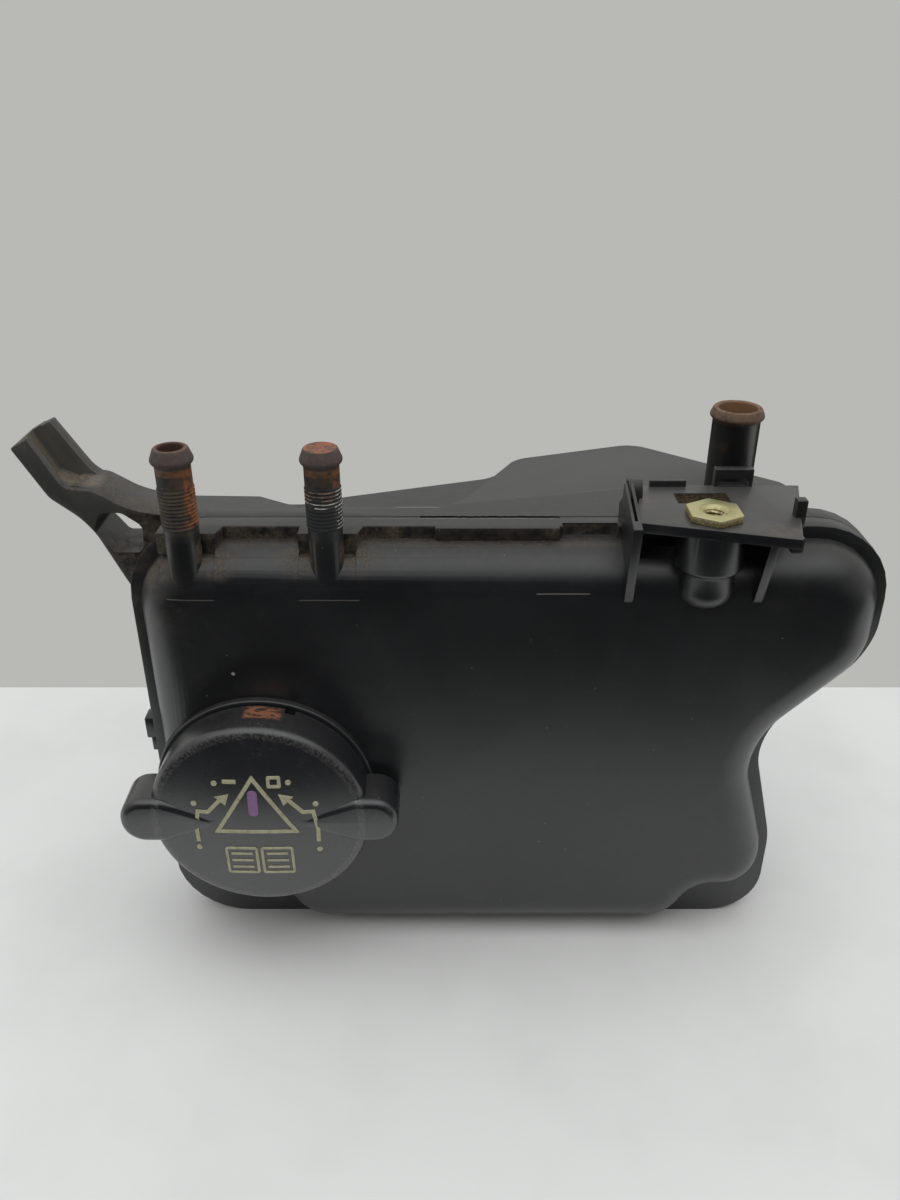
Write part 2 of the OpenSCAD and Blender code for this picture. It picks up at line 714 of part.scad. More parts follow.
module cap_core() {
    outer = core_d / 2;
    hollow = core_bore / 2;
    head_top = cap_inner - pass_gap;
    color(cap_plastic)
        on_cap_axis()
            difference() {
                rotate_extrude()
                    polygon([[0, core_roof], [hollow, core_roof],
                             [hollow, core_rear + 2.3], [hollow + 0.5, core_rear + 2.2],
                             [hollow + 0.5, core_rear + 1], [hollow, core_rear + 0.9],
                             [hollow, core_rear], [outer - 0.6, core_rear],
                             [outer, core_rear + 0.6], [outer, rear_groove],
                             [groove_r, rear_groove], [groove_r, rear_groove + groove_w],
                             [outer, rear_groove + groove_w], [outer, front_groove],
                             [groove_r, front_groove], [groove_r, front_groove + groove_w],
                             [outer, front_groove + groove_w], [outer, core_front],
                             [lip_r - 0.5, core_front], [lip_r - 0.5, head_top - head_t],
                             [head_r, head_top - head_t], [head_r, head_top],
                             [0, head_top]]);
                for (a = [0:120:240])
                    rotate([0, 90, a])
                        translate([-core_rear - 8.2, 0, 0]) cylinder(d = 2.4, h = outer + 1);
            }
}

module seal_ring(low) {
    color(rubber)
        on_cap_axis()
            translate([0, 0, low + groove_w / 2])
                rotate_extrude()
                    translate([groove_r + clip_gap + seal_r, 0]) circle(r = seal_r, $fn = 24);
}

// Seat ring clipped into the rear end of the valve body.
module valve_seat() {
    outer = core_bore / 2 - clip_gap;
    low = core_rear + clip_gap;
    color(cap_plastic)
        on_cap_axis()
            rotate_extrude()
                polygon([[seat_bore_r, low], [outer, low], [outer, core_rear + 1.1],
                         [outer + 0.4, core_rear + 1.2], [outer + 0.4, core_rear + 2],
                         [outer, core_rear + 2.1], [outer, seat_top],
                         [seat_rim_r + 0.9, seat_top], [seat_rim_r + 0.3, seat_top + seat_lip],
                         [seat_rim_r - 0.3, seat_top + seat_lip],
                         [seat_rim_r - 0.9, seat_top], [seat_bore_r, seat_top]]);
}

// Rubber washer on the rear face of the pressure valve.
module pressure_seal() {
    color(rubber)
        on_cap_axis()
            translate([0, 0, seal_low])
                difference() {
                    cylinder(r = core_bore / 2 - 1.6, h = seal_t);
                    translate([0, 0, -1]) cylinder(r = seal_bore_r, h = seal_t + 2);
                }
}

// Pressure valve: a cupped plate with a stem hole and vacuum ports.
module pressure_valve() {
    outer = core_bore / 2 - 0.5;
    stem_hole_r = stem_d / 2 + pass_gap;
    color(steel)
        on_cap_axis()
            difference() {
                translate([0, 0, plate_low])
                    cylinder(r = outer, h = valve_plate_t + valve_cup_h);
                translate([0, 0, plate_high])
                    cylinder(r = outer - 1.4, h = valve_cup_h + 1);
                translate([0, 0, plate_low - 1])
                    cylinder(r = stem_hole_r, h = valve_plate_t + 2);
                for (a = [0:120:240])
                    rotate([0, 0, a])
                        translate([(stem_hole_r + seal_bore_r) / 2, 0, plate_low - 1])
                            cylinder(d = (seal_bore_r - stem_hole_r) / 2,
                                     h = valve_plate_t + 2);
            }
}

module pressure_spring() {
    color(steel)
        on_cap_axis()
            coil_spring(plate_high + clip_gap, core_roof - clip_gap,
                        spring_r, spring_wire, 3);
}

// Vacuum valve: a disc behind the rubber washer on a stem through the plate.
module vacuum_valve() {
    groove = 0.5;
    head_high = seal_low - pass_gap;
    head = (seat_bore_r + seal_bore_r) / 2;
    color(steel)
        on_cap_axis()
            rotate_extrude()
                polygon([[0, head_high - vacuum_head_t], [head, head_high - vacuum_head_t],
                         [head, head_high], [stem_d / 2, head_high],
                         [stem_d / 2, clip_low - clip_gap],
                         [stem_d / 2 - groove, clip_low - clip_gap],
                         [stem_d / 2 - groove, clip_low + clip_t + clip_gap],
                         [stem_d / 2, clip_low + clip_t + clip_gap],
                         [stem_d / 2 - 0.2, stem_top], [0, stem_top]]);
}

module vacuum_clip() {
    inner = stem_d / 2 - 0.5 + clip_gap;
    color(steel)
        on_cap_axis()
            translate([0, 0, clip_low])
                difference() {
                    cylinder(r = 3.4, h = clip_t);
                    translate([0, 0, -1]) cylinder(r = inner, h = clip_t + 2);
                    translate([0, -inner, -1]) cube([5, 2 * inner, clip_t + 2]);
                }
}

module vacuum_spring() {
    color(steel)
        on_cap_axis()
            coil_spring(plate_high + clip_gap, clip_low - clip_gap, 2.6, 0.6, 3, 6, 12);
}

front_shell();
rear_shell();
threaded_insert();
cap_cover();
cap_core();
seal_ring(front_groove);  // front_seal_ring
seal_ring(rear_groove);  // rear_seal_ring
valve_seat();
pressure_valve();
pressure_seal();
pressure_spring();
vacuum_valve();
vacuum_clip();
vacuum_spring();
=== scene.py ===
# %% [markdown]
# # Dressing a coolant expansion tank
#
# The tank stands on a pale table: two black moulded half shells welded along a flange, a
# quarter-turn pressure cap, ringed hose spigots and a bracket that carries a threaded insert.
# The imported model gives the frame, in metres. This script rebuilds its visible pieces with
# soft edges and finishes, and leaves the inner pieces of the cap as they are.

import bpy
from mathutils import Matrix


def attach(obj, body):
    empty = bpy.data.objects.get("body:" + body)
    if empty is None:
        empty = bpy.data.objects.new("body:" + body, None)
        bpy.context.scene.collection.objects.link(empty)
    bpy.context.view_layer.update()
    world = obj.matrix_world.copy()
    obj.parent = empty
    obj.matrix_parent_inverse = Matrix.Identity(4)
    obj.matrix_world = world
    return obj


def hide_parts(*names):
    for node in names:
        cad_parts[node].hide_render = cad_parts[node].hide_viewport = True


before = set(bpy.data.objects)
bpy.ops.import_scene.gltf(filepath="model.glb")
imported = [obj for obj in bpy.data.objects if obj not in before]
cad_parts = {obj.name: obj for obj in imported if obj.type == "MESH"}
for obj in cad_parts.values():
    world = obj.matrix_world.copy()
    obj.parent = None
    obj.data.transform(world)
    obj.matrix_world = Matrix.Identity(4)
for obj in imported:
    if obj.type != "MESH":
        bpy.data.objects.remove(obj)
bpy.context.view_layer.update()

# %% Tools and units
import math
import random

import bmesh
import bpy
from mathutils import Matrix, Vector

MM = 0.001
MERGE, SLIVER = 0.003, 0.002  # doubles and slivers below these sizes are merged, in mm
random.seed(7)
scene = bpy.context.scene
print("nodes:", sorted(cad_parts))

# %% [markdown]
# ## The camera
#
# The photograph looks slightly down on the tank from the front. The pitch, the distance and
# the lens were solved from the flange, the spigots and the cap, so the camera is set first:
# every later piece is judged through it.

# %% Camera
CAMERA_MM = (-15.0, -241.0, 248.7)
PITCH = 28.7
lens = bpy.data.cameras.new("camera")
lens.sensor_width = 36.0
lens.lens = 30.0
camera = bpy.data.objects.new("camera", lens)
camera.location = Vector(CAMERA_MM) * MM
camera.rotation_euler = (math.radians(90 - PITCH), 0, 0)
scene.collection.objects.link(camera)
scene.camera = camera
print("camera pitched down by", PITCH, "degrees")

# %% [markdown]
# ## Helpers for moulded forms
#
# A moulding is drawn as an outline with rounded corners, pulled out to its thickness, and
# given a small radius along its edges. One vertex bevel rounds each corner by its own
# radius, an extrusion makes the body and an edge bevel softens it. A Bevel modifier could do
# the same, but only with one radius for a whole body. All sizes below are in millimetres,
# and a finished mesh is scaled to metres once.


# %% Rounded outline, prism and soft edges
def tangent(before, corner, after):
    """Distance from a corner to where its rounding starts."""
    a = Vector((corner[0] - before[0], corner[1] - before[1]))
    b = Vector((after[0] - corner[0], after[1] - corner[1]))
    return corner[2] * math.tan(abs(a.angle_signed(b)) / 2)


def outline_face(bm, corners, level, upright, steps=8):
    """A face through rounded corners; upright faces lie across Y, the others across Z."""
    place = (lambda c: (c[0], level, c[1])) if upright else (lambda c: (c[0], c[1], level))
    points = [bm.verts.new(place(c)) for c in corners]
    bm.faces.new(points)
    count = len(corners)
    for i, point in enumerate(points):
        reach = tangent(corners[i - 1], corners[i], corners[(i + 1) % count])
        if reach > 0.01:
            bmesh.ops.bevel(bm, geom=[point], offset=reach, offset_type="OFFSET",
                            segments=steps, profile=0.5, affect="VERTICES", material=-1)
    return bm.faces[:]


def prism(corners, low, high, upright=True, steps=8):
    """A closed body between two levels."""
    bm = bmesh.new()
    faces = outline_face(bm, corners, low, upright, steps)
    made = bmesh.ops.extrude_face_region(bm, geom=faces)
    moved = [v for v in made["geom"] if isinstance(v, bmesh.types.BMVert)]
    step = Vector((0, high - low, 0)) if upright else Vector((0, 0, high - low))
    bmesh.ops.translate(bm, vec=step, verts=moved)
    bmesh.ops.recalc_face_normals(bm, faces=bm.faces[:])
    return bm


def soften(bm, radius, chosen=lambda edge: True, segments=3, least=40, clamp=True):
    """Rounds the sharp edges that the test picks; clamp keeps roundings from meeting."""
    sharp = [e for e in bm.edges if len(e.link_faces) == 2
             and e.calc_face_angle(0) > math.radians(least) and chosen(e)]
    bmesh.ops.bevel(bm, geom=sharp, offset=radius, offset_type="OFFSET", segments=segments,
                    profile=0.5, affect="EDGES", clamp_overlap=clamp, material=-1)
    return bm


def middle(edge):
    return (edge.verts[0].co + edge.verts[1].co) / 2


def inset_corners(corners, by):
    """The same outline moved inward, its corner radii kept concentric."""
    count, moved = len(corners), []
    for i, (x, y, r) in enumerate(corners):
        a = Vector((x - corners[i - 1][0], y - corners[i - 1][1])).normalized()
        b = Vector((corners[(i + 1) % count][0] - x, corners[(i + 1) % count][1] - y)).normalized()
        na, nb = Vector((-a.y, a.x)), Vector((-b.y, b.x))
        shift = (na + nb) * (by / (1 + na.dot(nb)))
        side = 1 if a.cross(b) > 0 else -1
        moved.append((x + shift.x, y + shift.y, max(0.05, r - side * by)))
    return moved


print("outline helpers ready")


# %% [markdown]
# ## Boxes, turned forms and joins
#
# Spigots, boss, neck and cap are turned forms: half a profile spun once round. The bodies of
# one moulding are then joined and hollowed by exact booleans, one after another, because a
# long stack of boolean modifiers may drop a body. The seam of each join is cleaned at once,
# and a finished piece tells how many open edges are left, which should be none.


# %% Boxes, turned pieces and joined bodies
def box(low, high, radius=0.35, segments=2):
    """A block between two corners with a small edge radius."""
    bm = bmesh.new()
    bmesh.ops.create_cube(bm, size=1)
    size = [b - a for a, b in zip(low, high)]
    bmesh.ops.scale(bm, vec=size, verts=bm.verts[:])
    bmesh.ops.translate(bm, vec=[(a + b) / 2 for a, b in zip(low, high)], verts=bm.verts[:])
    return soften(bm, radius, segments=segments) if radius else bm


def lean_forward(bm):
    """Turns a body that stands along Z until it points at the camera, along -Y."""
    bmesh.ops.rotate(bm, cent=(0, 0, 0), matrix=Matrix.Rotation(math.radians(90), 3, "X"),
                     verts=bm.verts[:])


def lathe(profile, centre, axis="Z", steps=64):
    """A profile of (radius, level) turned once round; it may start and end on the axis."""
    bm = bmesh.new()
    points = [bm.verts.new((r, 0, h)) for r, h in profile]
    for a, b in zip(points, points[1:]):
        bm.edges.new((a, b))
    bmesh.ops.spin(bm, geom=bm.verts[:] + bm.edges[:], cent=(0, 0, 0), axis=(0, 0, 1),
                   angle=math.tau, steps=steps, use_merge=True, use_duplicate=False)
    bmesh.ops.remove_doubles(bm, verts=bm.verts[:], dist=SLIVER)
    if axis == "Y":
        lean_forward(bm)
    bmesh.ops.translate(bm, vec=centre, verts=bm.verts[:])
    bmesh.ops.recalc_face_normals(bm, faces=bm.faces[:])
    return bm


def plug(radius, low, high, centre, axis="Z", steps=64):
    """A plain turned cylinder between two levels."""
    return lathe([(0, low), (radius, low), (radius, high), (0, high)], centre, axis, steps)


def arc(centre_r, centre_h, radius, start, end, steps=5):
    """Points of a rounded corner in a turned profile, angles in degrees."""
    return [(centre_r + radius * math.cos(math.radians(start + (end - start) * k / steps)),
             centre_h + radius * math.sin(math.radians(start + (end - start) * k / steps)))
            for k in range(steps + 1)]


def body(name, bm):
    """A mesh object that still measures in millimetres."""
    mesh = bpy.data.meshes.new(name)
    bm.to_mesh(mesh)
    bm.free()
    made = bpy.data.objects.new(name, mesh)
    scene.collection.objects.link(made)
    return made


def combine(name, base, steps):
    """Joins to a body or cuts from it in turn; each step is (operation, bmesh)."""
    for operation, bm in steps:
        made, tool = body(name, base), body(name + "_tool", bm)
        cut = made.modifiers.new(operation, "BOOLEAN")
        cut.operation, cut.object, cut.solver = operation, tool, "EXACT"
        evaluated = made.evaluated_get(bpy.context.evaluated_depsgraph_get())
        mesh = bpy.data.meshes.new_from_object(evaluated)
        base = bmesh.new()
        base.from_mesh(mesh)
        for old in (tool, made):
            old_mesh = old.data
            bpy.data.objects.remove(old)
            bpy.data.meshes.remove(old_mesh)
        bpy.data.meshes.remove(mesh)
        bmesh.ops.remove_doubles(base, verts=base.verts[:], dist=MERGE)
        bmesh.ops.dissolve_degenerate(base, edges=base.edges[:], dist=SLIVER)
    return base


def piece(name, bm, body_name, material, stands_for=(), smooth_to=38):
    """Finishes a mesh: metres, smooth shading up to an angle, its body, slot and nodes."""
    bmesh.ops.scale(bm, vec=(MM, MM, MM), verts=bm.verts[:])
    for face in bm.faces:
        face.smooth = True
    limit = math.radians(smooth_to)
    for edge in bm.edges:
        edge.smooth = len(edge.link_faces) == 2 and edge.calc_face_angle(0) < limit
    loose = sum(len(edge.link_faces) != 2 for edge in bm.edges)
    made = body(name, bm)
    made.data.materials.append(material)
    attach(made, body_name)
    if stands_for:
        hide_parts(*stands_for)
    print(name, "has", len(made.data.polygons), "faces and", loose, "open edges")


def joined(parts):
    """Several separate bodies as one mesh."""
    whole = bmesh.new()
    for bm in parts:
        mesh = bpy.data.meshes.new("part")
        bm.to_mesh(mesh)
        bm.free()
        whole.from_mesh(mesh)
        bpy.data.meshes.remove(mesh)
    return whole


ADD, CUT, KEEP = "UNION", "DIFFERENCE", "INTERSECT"
print("boxes, lathe and joins ready")

# %% [markdown]
# ## Outlines shared by both shells
#
# The weld flange runs round the whole tank: straight at the top and on the left, with a
# waist and a lobe on the right. The dish stands on it and is cut back at the lower corners.
# Each corner is (across, up, radius).

# %% Outlines
FLANGE = [(-102.6, 0, 22), (85.5, 0, 16), (85.5, 32, 30), (75.5, 71, 20),
          (104.6, 100.1, 22), (104.6, 139, 22), (-102.6, 139, 22)]
DISH = [(-99.1, 24, 13), (-71, 20, 9), (-61, 3.5, 13), (55, 3.5, 12.5), (63.5, 17, 8),
        (82, 17, 12.5), (82, 33.5, 20), (71.5, 71, 23.5), (101.1, 101.6, 18.5),
        (101.1, 135.5, 18.5), (-99.1, 135.5, 18.5)]
TOP = 139.0
WALL = 3.0
WELD = 6.2
FLANGE_BACK = 12.7
DISH_DEPTH = 12.0
CAP_X, CAP_Z = -68.0, 61.5
LEFT_SPIGOT, RIGHT_SPIGOT, SPIGOT_Y = -84.0, -47.0, -7.0
print("flange", FLANGE[4][0] - FLANGE[0][0], "mm wide and", TOP, "mm high")

# %% [markdown]
# ## Shader tools
#
# A finish is a small node tree that reads Object coordinates, in millimetres. Numbers that
# vary over the surface are added and multiplied like plain numbers, and every node is made
# by one method, so that a finish below reads as a list of coats: dust, grime, rust. The room
# that the gloss mirrors is made with the same tools.


# %% Levels and node trees
class Level:
    """A number that varies over a surface; plain arithmetic adds the nodes."""

    def __init__(self, tree, socket):
        self.tree, self.socket = tree, socket

    def __add__(self, other):
        return self.tree.math("ADD", self, other)

    def __radd__(self, other):
        return self.tree.math("ADD", other, self)

    def __sub__(self, other):
        return self.tree.math("SUBTRACT", self, other)

    def __rsub__(self, other):
        return self.tree.math("SUBTRACT", other, self)

    def __mul__(self, other):
        return self.tree.math("MULTIPLY", self, other)

    def __rmul__(self, other):
        return self.tree.math("MULTIPLY", other, self)


class Tree:
    """A node tree whose nodes are all made by one method."""

    def __init__(self, node_tree):
        self.nodes, self.links = node_tree.nodes, node_tree.links

    def node(self, kind, settings=None, inputs=None):
        """Makes one node: its settings first, then what feeds its inputs."""
        made = self.nodes.new(kind)
        for key, value in (settings or {}).items():
            setattr(made, key, value)
        for key, value in (inputs or {}).items():
            self.feed(made.inputs[key], value)
        return made

    def feed(self, socket, value):
        """Sets a plain value on a socket, or links a varying one."""
        if isinstance(value, Level):
            value = value.socket
        if isinstance(value, bpy.types.NodeSocket):
            self.links.new(value, socket)
        else:
            socket.default_value = value

    def math(self, operation, *values, clamp=False):
        made = self.node("ShaderNodeMath", {"operation": operation, "use_clamp": clamp},
                         dict(enumerate(values)))
        return Level(self, made.outputs[0])

    def axes(self, vector):
        """The three numbers of a vector."""
        parts = self.node("ShaderNodeSeparateXYZ", {}, {"Vector": vector}).outputs
        return [Level(self, parts[axis]) for axis in "XYZ"]

    def ramp(self, value, low, high, start, end):
        """A soft step between two levels."""
        made = self.node("ShaderNodeMapRange", {"interpolation_type": "SMOOTHSTEP"},
                         {"Value": value, "From Min": low, "From Max": high,
                          "To Min": start, "To Max": end})
        return Level(self, made.outputs["Result"])

    def rise(self, value, low, high, to=1.0):
        """Zero below low, then a soft step up to a level at high."""
        return self.ramp(value, low, high, 0.0, to)

    def fall(self, value, low, high, to=1.0):
        """A level up to low, then a soft step down to zero at high."""
        return self.ramp(value, low, high, to, 0.0)

    def layer(self, under, mask, over):
        """One colour laid over another by a mask."""
        return self.node("ShaderNodeMix", {"data_type": "RGBA"},
                         {0: mask, 6: under, 7: over}).outputs[2]

    def coats(self, colour, *coats):
        """A colour with several more laid over it in turn; a coat is (mask, colour)."""
        for mask, over in coats:
            colour = self.layer(colour, mask, over)
        return colour


print("levels and node trees ready")


# %% Finish
class Finish(Tree):
    """A material that reads positions in millimetres."""

    def __init__(self, name, **constants):
        self.material = bpy.data.materials.new(name)
        self.material.use_nodes = True
        super().__init__(self.material.node_tree)
        self.shader = self.nodes["Principled BSDF"]
        for socket, value in constants.items():
            self.shader.inputs[socket.replace("_", " ")].default_value = value
        coordinates = self.node("ShaderNodeTexCoord").outputs
        self.place = self.vector("SCALE", coordinates["Object"], Scale=1 / MM)
        self.x, self.y, self.z = self.axes(self.place)
        self.up = self.axes(coordinates["Normal"])[2]

    def vector(self, operation, *values, **named):
        made = self.node("ShaderNodeVectorMath", {"operation": operation},
                         {**dict(enumerate(values)), **named})
        return made.outputs["Value" if operation == "DISTANCE" else "Vector"]

    def band(self, value, low, high, soft):
        """One between low and high, with soft ends outside them."""
        return self.rise(value, low - soft, low) * self.fall(value, high, high + soft)

    def away(self, point, weights=(1, 1, 1)):
        """Distance from a point; a zero weight leaves that axis out."""
        place = self.vector("MULTIPLY", self.place, weights) if 0 in weights else self.place
        return Level(self, self.vector("DISTANCE", place, point))

    def near(self, point, radius, soft):
        """One inside a ball round a point, fading outward."""
        return self.fall(self.away(point), radius, radius + soft)

    def noise(self, size, detail=3.0, rough=0.55, stretch=(1, 1, 1)):
        """Cloudy noise with patches of about that size, from 0 to 1."""
        place = self.place
        if stretch != (1, 1, 1):
            place = self.vector("MULTIPLY", self.place, stretch)
        made = self.node("ShaderNodeTexNoise", {"noise_dimensions": "3D"},
                         {"Vector": place, "Scale": 1 / size, "Detail": detail,
                          "Roughness": rough})
        return Level(self, made.outputs[0])

    def specks(self, spacing, radius):
        """Round specks, one in most cells of that spacing."""
        made = self.node("ShaderNodeTexVoronoi", {"feature": "F1"},
                         {"Vector": self.place, "Scale": 1 / spacing})
        return self.fall(Level(self, made.outputs["Distance"]), radius / spacing,
                         1.6 * radius / spacing)

    def done(self, colour, roughness, height=None, strength=0.5):
        """Feeds the shader; height is in millimetres."""
        self.feed(self.shader.inputs["Base Color"], colour)
        self.feed(self.shader.inputs["Roughness"], roughness)
        if height is not None:
            bump = self.node("ShaderNodeBump", {}, {"Strength": strength, "Distance": MM,
                                                    "Height": height})
            self.feed(self.shader.inputs["Normal"], bump.outputs[0])
        print(self.material.name, "made of", len(self.nodes), "nodes")
        return self.material


def rgb(red, green, blue):
    """A colour as the eye reads it on a screen, 0 to 255, turned to linear light."""
    return tuple((v / 255 / 12.92) if v < 10.3 else ((v / 255 + 0.055) / 1.055) ** 2.4
                 for v in (red, green, blue)) + (1.0,)


print("finish tools ready")

# %% [markdown]
# ## Moulded black plastic
#
# The tank is glass-filled nylon: satin black with a fine grain, dust on what faces up and
# hair scratches. One flat black would look like paint, so three noises of different size
# make its patches, grain and dust, and both shells and the cap share them.


# %% Plastic base
def plastic(finish, tone, dusty, gloss):
    """Colour, roughness and height of aged plastic before any local dirt."""
    patches = finish.noise(26, 4)
    grain = finish.noise(0.55, 2, 0.6)
    fine = finish.noise(2.4, 5, 0.7)
    dust = finish.rise(finish.up, 0.35, 0.98) * (0.55 + finish.rise(fine, 0.25, 0.75, 0.45)) * dusty
    settled = finish.rise(finish.noise(7, 3), 0.42, 0.66) * finish.rise(fine, 0.45, 0.7, 0.05)
    colour = finish.coats(tone[0], (finish.rise(patches, 0.35, 0.7), tone[1]),
                          (finish.rise(grain, 0.58, 0.8, 0.22), rgb(72, 72, 74)),
                          (dust, rgb(132, 128, 120)), (settled, rgb(120, 112, 98)),
                          (finish.specks(6.5, 0.16) * 0.5, rgb(150, 142, 126)))
    rough = gloss + 0.12 * (patches - 0.5) + 0.25 * dust + 0.2 * settled
    scratches = finish.rise(finish.noise(1.1, 1, 0.5, (6, 6, 0.35)), 0.7, 0.78)
    height = 0.035 * grain + 0.02 * fine - 0.01 * scratches
    return colour, rough, height


def granular(finish):
    """Grains of road dirt: a coarse and a fine noise, from 0 to 1."""
    return (finish.rise(finish.noise(0.9, 3, 0.75), 0.42, 0.6) * 0.6
            + finish.rise(finish.noise(0.35, 2, 0.7), 0.45, 0.65) * 0.4)


DIRT = rgb(66, 57, 46)
SAND = rgb(134, 114, 86)
print("plastic base ready")

# %% [markdown]
# ## Grime on the front shell
#
# Road dirt has settled where the rim shelters it: on the low front wall of the flange, in
# the notches beside the spigots and over the left corner. Each place is a product of bands
# along X, Y and Z, whose soft ends a noise breaks up. The dirt could be painted on an image,
# but bands in millimetres need no unwrapping and stay in place in every view.

# %% Grime of flange, notches and corner
f = Finish("shell_front_black", Specular_IOR_Level=0.9)
colour, rough, height = plastic(f, (rgb(23, 24, 26), rgb(30, 31, 33)), 0.10, 0.33)
grains = granular(f)
foot = f.band(f.z, 135.4, 138.6, 0.4) * f.band(f.y, -1.6, 2.3, 0.2) * f.fall(f.up, 0.45, 0.8)
foot = foot * (f.band(f.x, -98, -30, 3) + 0.7 * f.band(f.x, 12, 33, 3)
               + 0.35 * f.band(f.x, -30, 12, 2))
hollow = f.band(f.x, -91.7, -74.4, 0.3) + f.band(f.x, -54.7, -37.4, 0.3)
foot = foot + (hollow * f.band(f.y, -9.6, -1, 0.3) * f.band(f.z, 132.8, 138.6, 0.3)
               * f.fall(f.up, 0.6, 0.95))
ledge = f.band(f.z, 134.2, 136.1, 0.5) * f.band(f.y, -3.4, 0.3, 0.5) * f.band(f.x, -76, 33, 3)
corner = f.near((-97, -2, 124), 11, 10) * f.rise(f.noise(5, 4, 0.7), 0.40, 0.66)
shoulder = (f.near((-93.5, -8, 130), 3, 4) + f.near((-75.5, -7, 131), 2.5, 3.5)
            + f.near((-39, -6, 132), 2.5, 4) + f.near((-54.5, -7, 132), 2.5, 4))
shoulder = shoulder * f.rise(f.noise(2.5, 4, 0.7), 0.34, 0.6)
grime = f.math("ADD", foot * f.rise(f.noise(3.5, 4, 0.7), 0.34, 0.62) + 0.5 * ledge * grains,
               0.26 * corner + 0.85 * shoulder, clamp=True)
colour = f.coats(colour, (0.7 * grime, DIRT), (grime * grains * 0.4, SAND))
height = height + 0.12 * grime * grains
print("front shell so far:", len(f.nodes), "nodes")

# %% Grains in the bracket's pocket and beside the insert, and dust with a painted sheen on the plate
pocket = f.band(f.x, 43.5, 59.2, 0.5) * f.band(f.y, -1.8, 6.1, 0.4) * f.band(f.z, 141, 145.7, 0.25)
smear = (f.near((34.5, 1, 146), 2, 5) + f.near((66.5, -17.5, 146), 2.5, 5)
         + 0.5 * f.near((51.5, -9.9, 146), 7, 3)) * f.rise(f.up, 0.5, 0.9)
smear = smear * f.rise(f.noise(2.2, 4, 0.7), 0.4, 0.62)
# The plate's upward top is laid pale grey: partly dust, partly a painted sheen that makes the top
# lighter.
plate = f.band(f.z, 145.2, 147, 0.6) * f.rise(f.up, 0.7, 0.98) * f.rise(f.x, 28, 31)
colour = f.coats(colour, (0.8 * pocket + 0.5 * smear, DIRT),
                 ((pocket + 0.4 * smear) * grains * 0.7, SAND), (0.25 * plate, rgb(100, 98, 96)))
print("front shell so far:", len(f.nodes), "nodes")

# %% [markdown]
# ## Mould lines and the weld
#
# The mould left pale witness lines on the face and dark edges beside the spigots, and the
# weld pressed a ragged seam out along the top. They are a fraction of a millimetre wide, so
# they are bands of colour, and a noise added to Y makes the seam ragged.

# %% Witness lines, spots and seam
line_1 = f.band(f.z, 123.08, 123.3, 0.1) * (f.band(f.x, -89, -77, 0.6)
                                            + f.band(f.x, -54, -39, 0.6))
line_2 = f.band(f.z, 124.92, 125.15, 0.1) * f.band(f.x, 8, 21, 0.8)
lines = (line_1 + 1.6 * line_2) * f.fall(f.y, -9, -8)
edges = sum(f.band(f.x, x, x + 0.15, 0.1) for x in (-91.55, -76.6, -54.55, -39.6))
edges = edges * f.band(f.z, 127.5, 133.2, 0.8) * f.fall(f.y, -6, -5)
dark_spot = f.near((-25, -12, 70.1), 0.8, 1.2) * f.fall(f.y, -11, -10)
pale_spot = f.near((-74, -12, 100.4), 0.35, 0.3)
ragged = f.y + 1.5 * f.noise(1.8, 5, 0.85)
seam = f.band(f.x, -23, 14, 0.8) + 0.5 * f.band(f.x, -36, -25, 0.5)
seam = seam * f.rise(f.z, 138.6, 138.9)
colour = f.coats(colour, (0.85 * edges, rgb(10, 10, 10)), (0.5 * lines, rgb(130, 126, 118)),
                 (0.8 * dark_spot, rgb(12, 12, 12)), (pale_spot * 0.9, rgb(180, 176, 168)),
                 (0.5 * seam * f.band(ragged, 5.5, 5.9, 0.12), rgb(124, 122, 116)),
                 (0.9 * seam * f.band(ragged, 6.1, 6.75, 0.12), rgb(14, 13, 12)))
print("front shell so far:", len(f.nodes), "nodes")

# %% [markdown]
# ## Rust and lime on the vent spigots
#
# Hose clips and coolant stained the spigots from olive at the foot to orange under the bead.
# The grip rings repeat every millimetre, so the fraction of the height finds their crests,
# which carry the worn and pale marks. Both spigots share the masks, and a mask along X says
# which one a coat is for.

# %% Spigot masks
above = f.rise(f.z, 138.5, 140) * f.fall(f.x, -30, -20)
left, right = f.fall(f.x, -70, -60), f.rise(f.x, -70, -60)
cloud = f.noise(1.6, 4, 0.7)
low_cloud = f.noise(4.5, 3, 0.6)
beads = f.rise(f.z, 158.7, 159.1) * above
tip = f.rise(f.up, 0.7, 0.97) * f.rise(f.z, 161.8, 162.8) * above
inside = f.fall(f.away((-84, -7, 0), (1, 1, 0)), 3.2, 3.7) * above
crests = f.fall(f.math("ABSOLUTE", f.math("FRACT", f.z + 0.6) - 0.5), 0.1, 0.26)
ringed = f.band(f.z, 142.4, 153.6, 0.3) * above
under = f.band(f.z, 154.2, 158.2, 0.8) * above
olive = left * f.band(f.z, 142, 157, 1.5) * above
ochre = f.band(f.z, 157.2, 158.5, 0.4) * above
edge_1 = left * f.rise(f.x, -81.9, -80.2) * f.band(f.z, 143.5, 157.6, 1.2) * above
edge_2 = right * f.rise(f.x, -44.9, -43.2) * f.band(f.z, 154.5, 157.8, 1.0) * above
print("spigot masks ready")

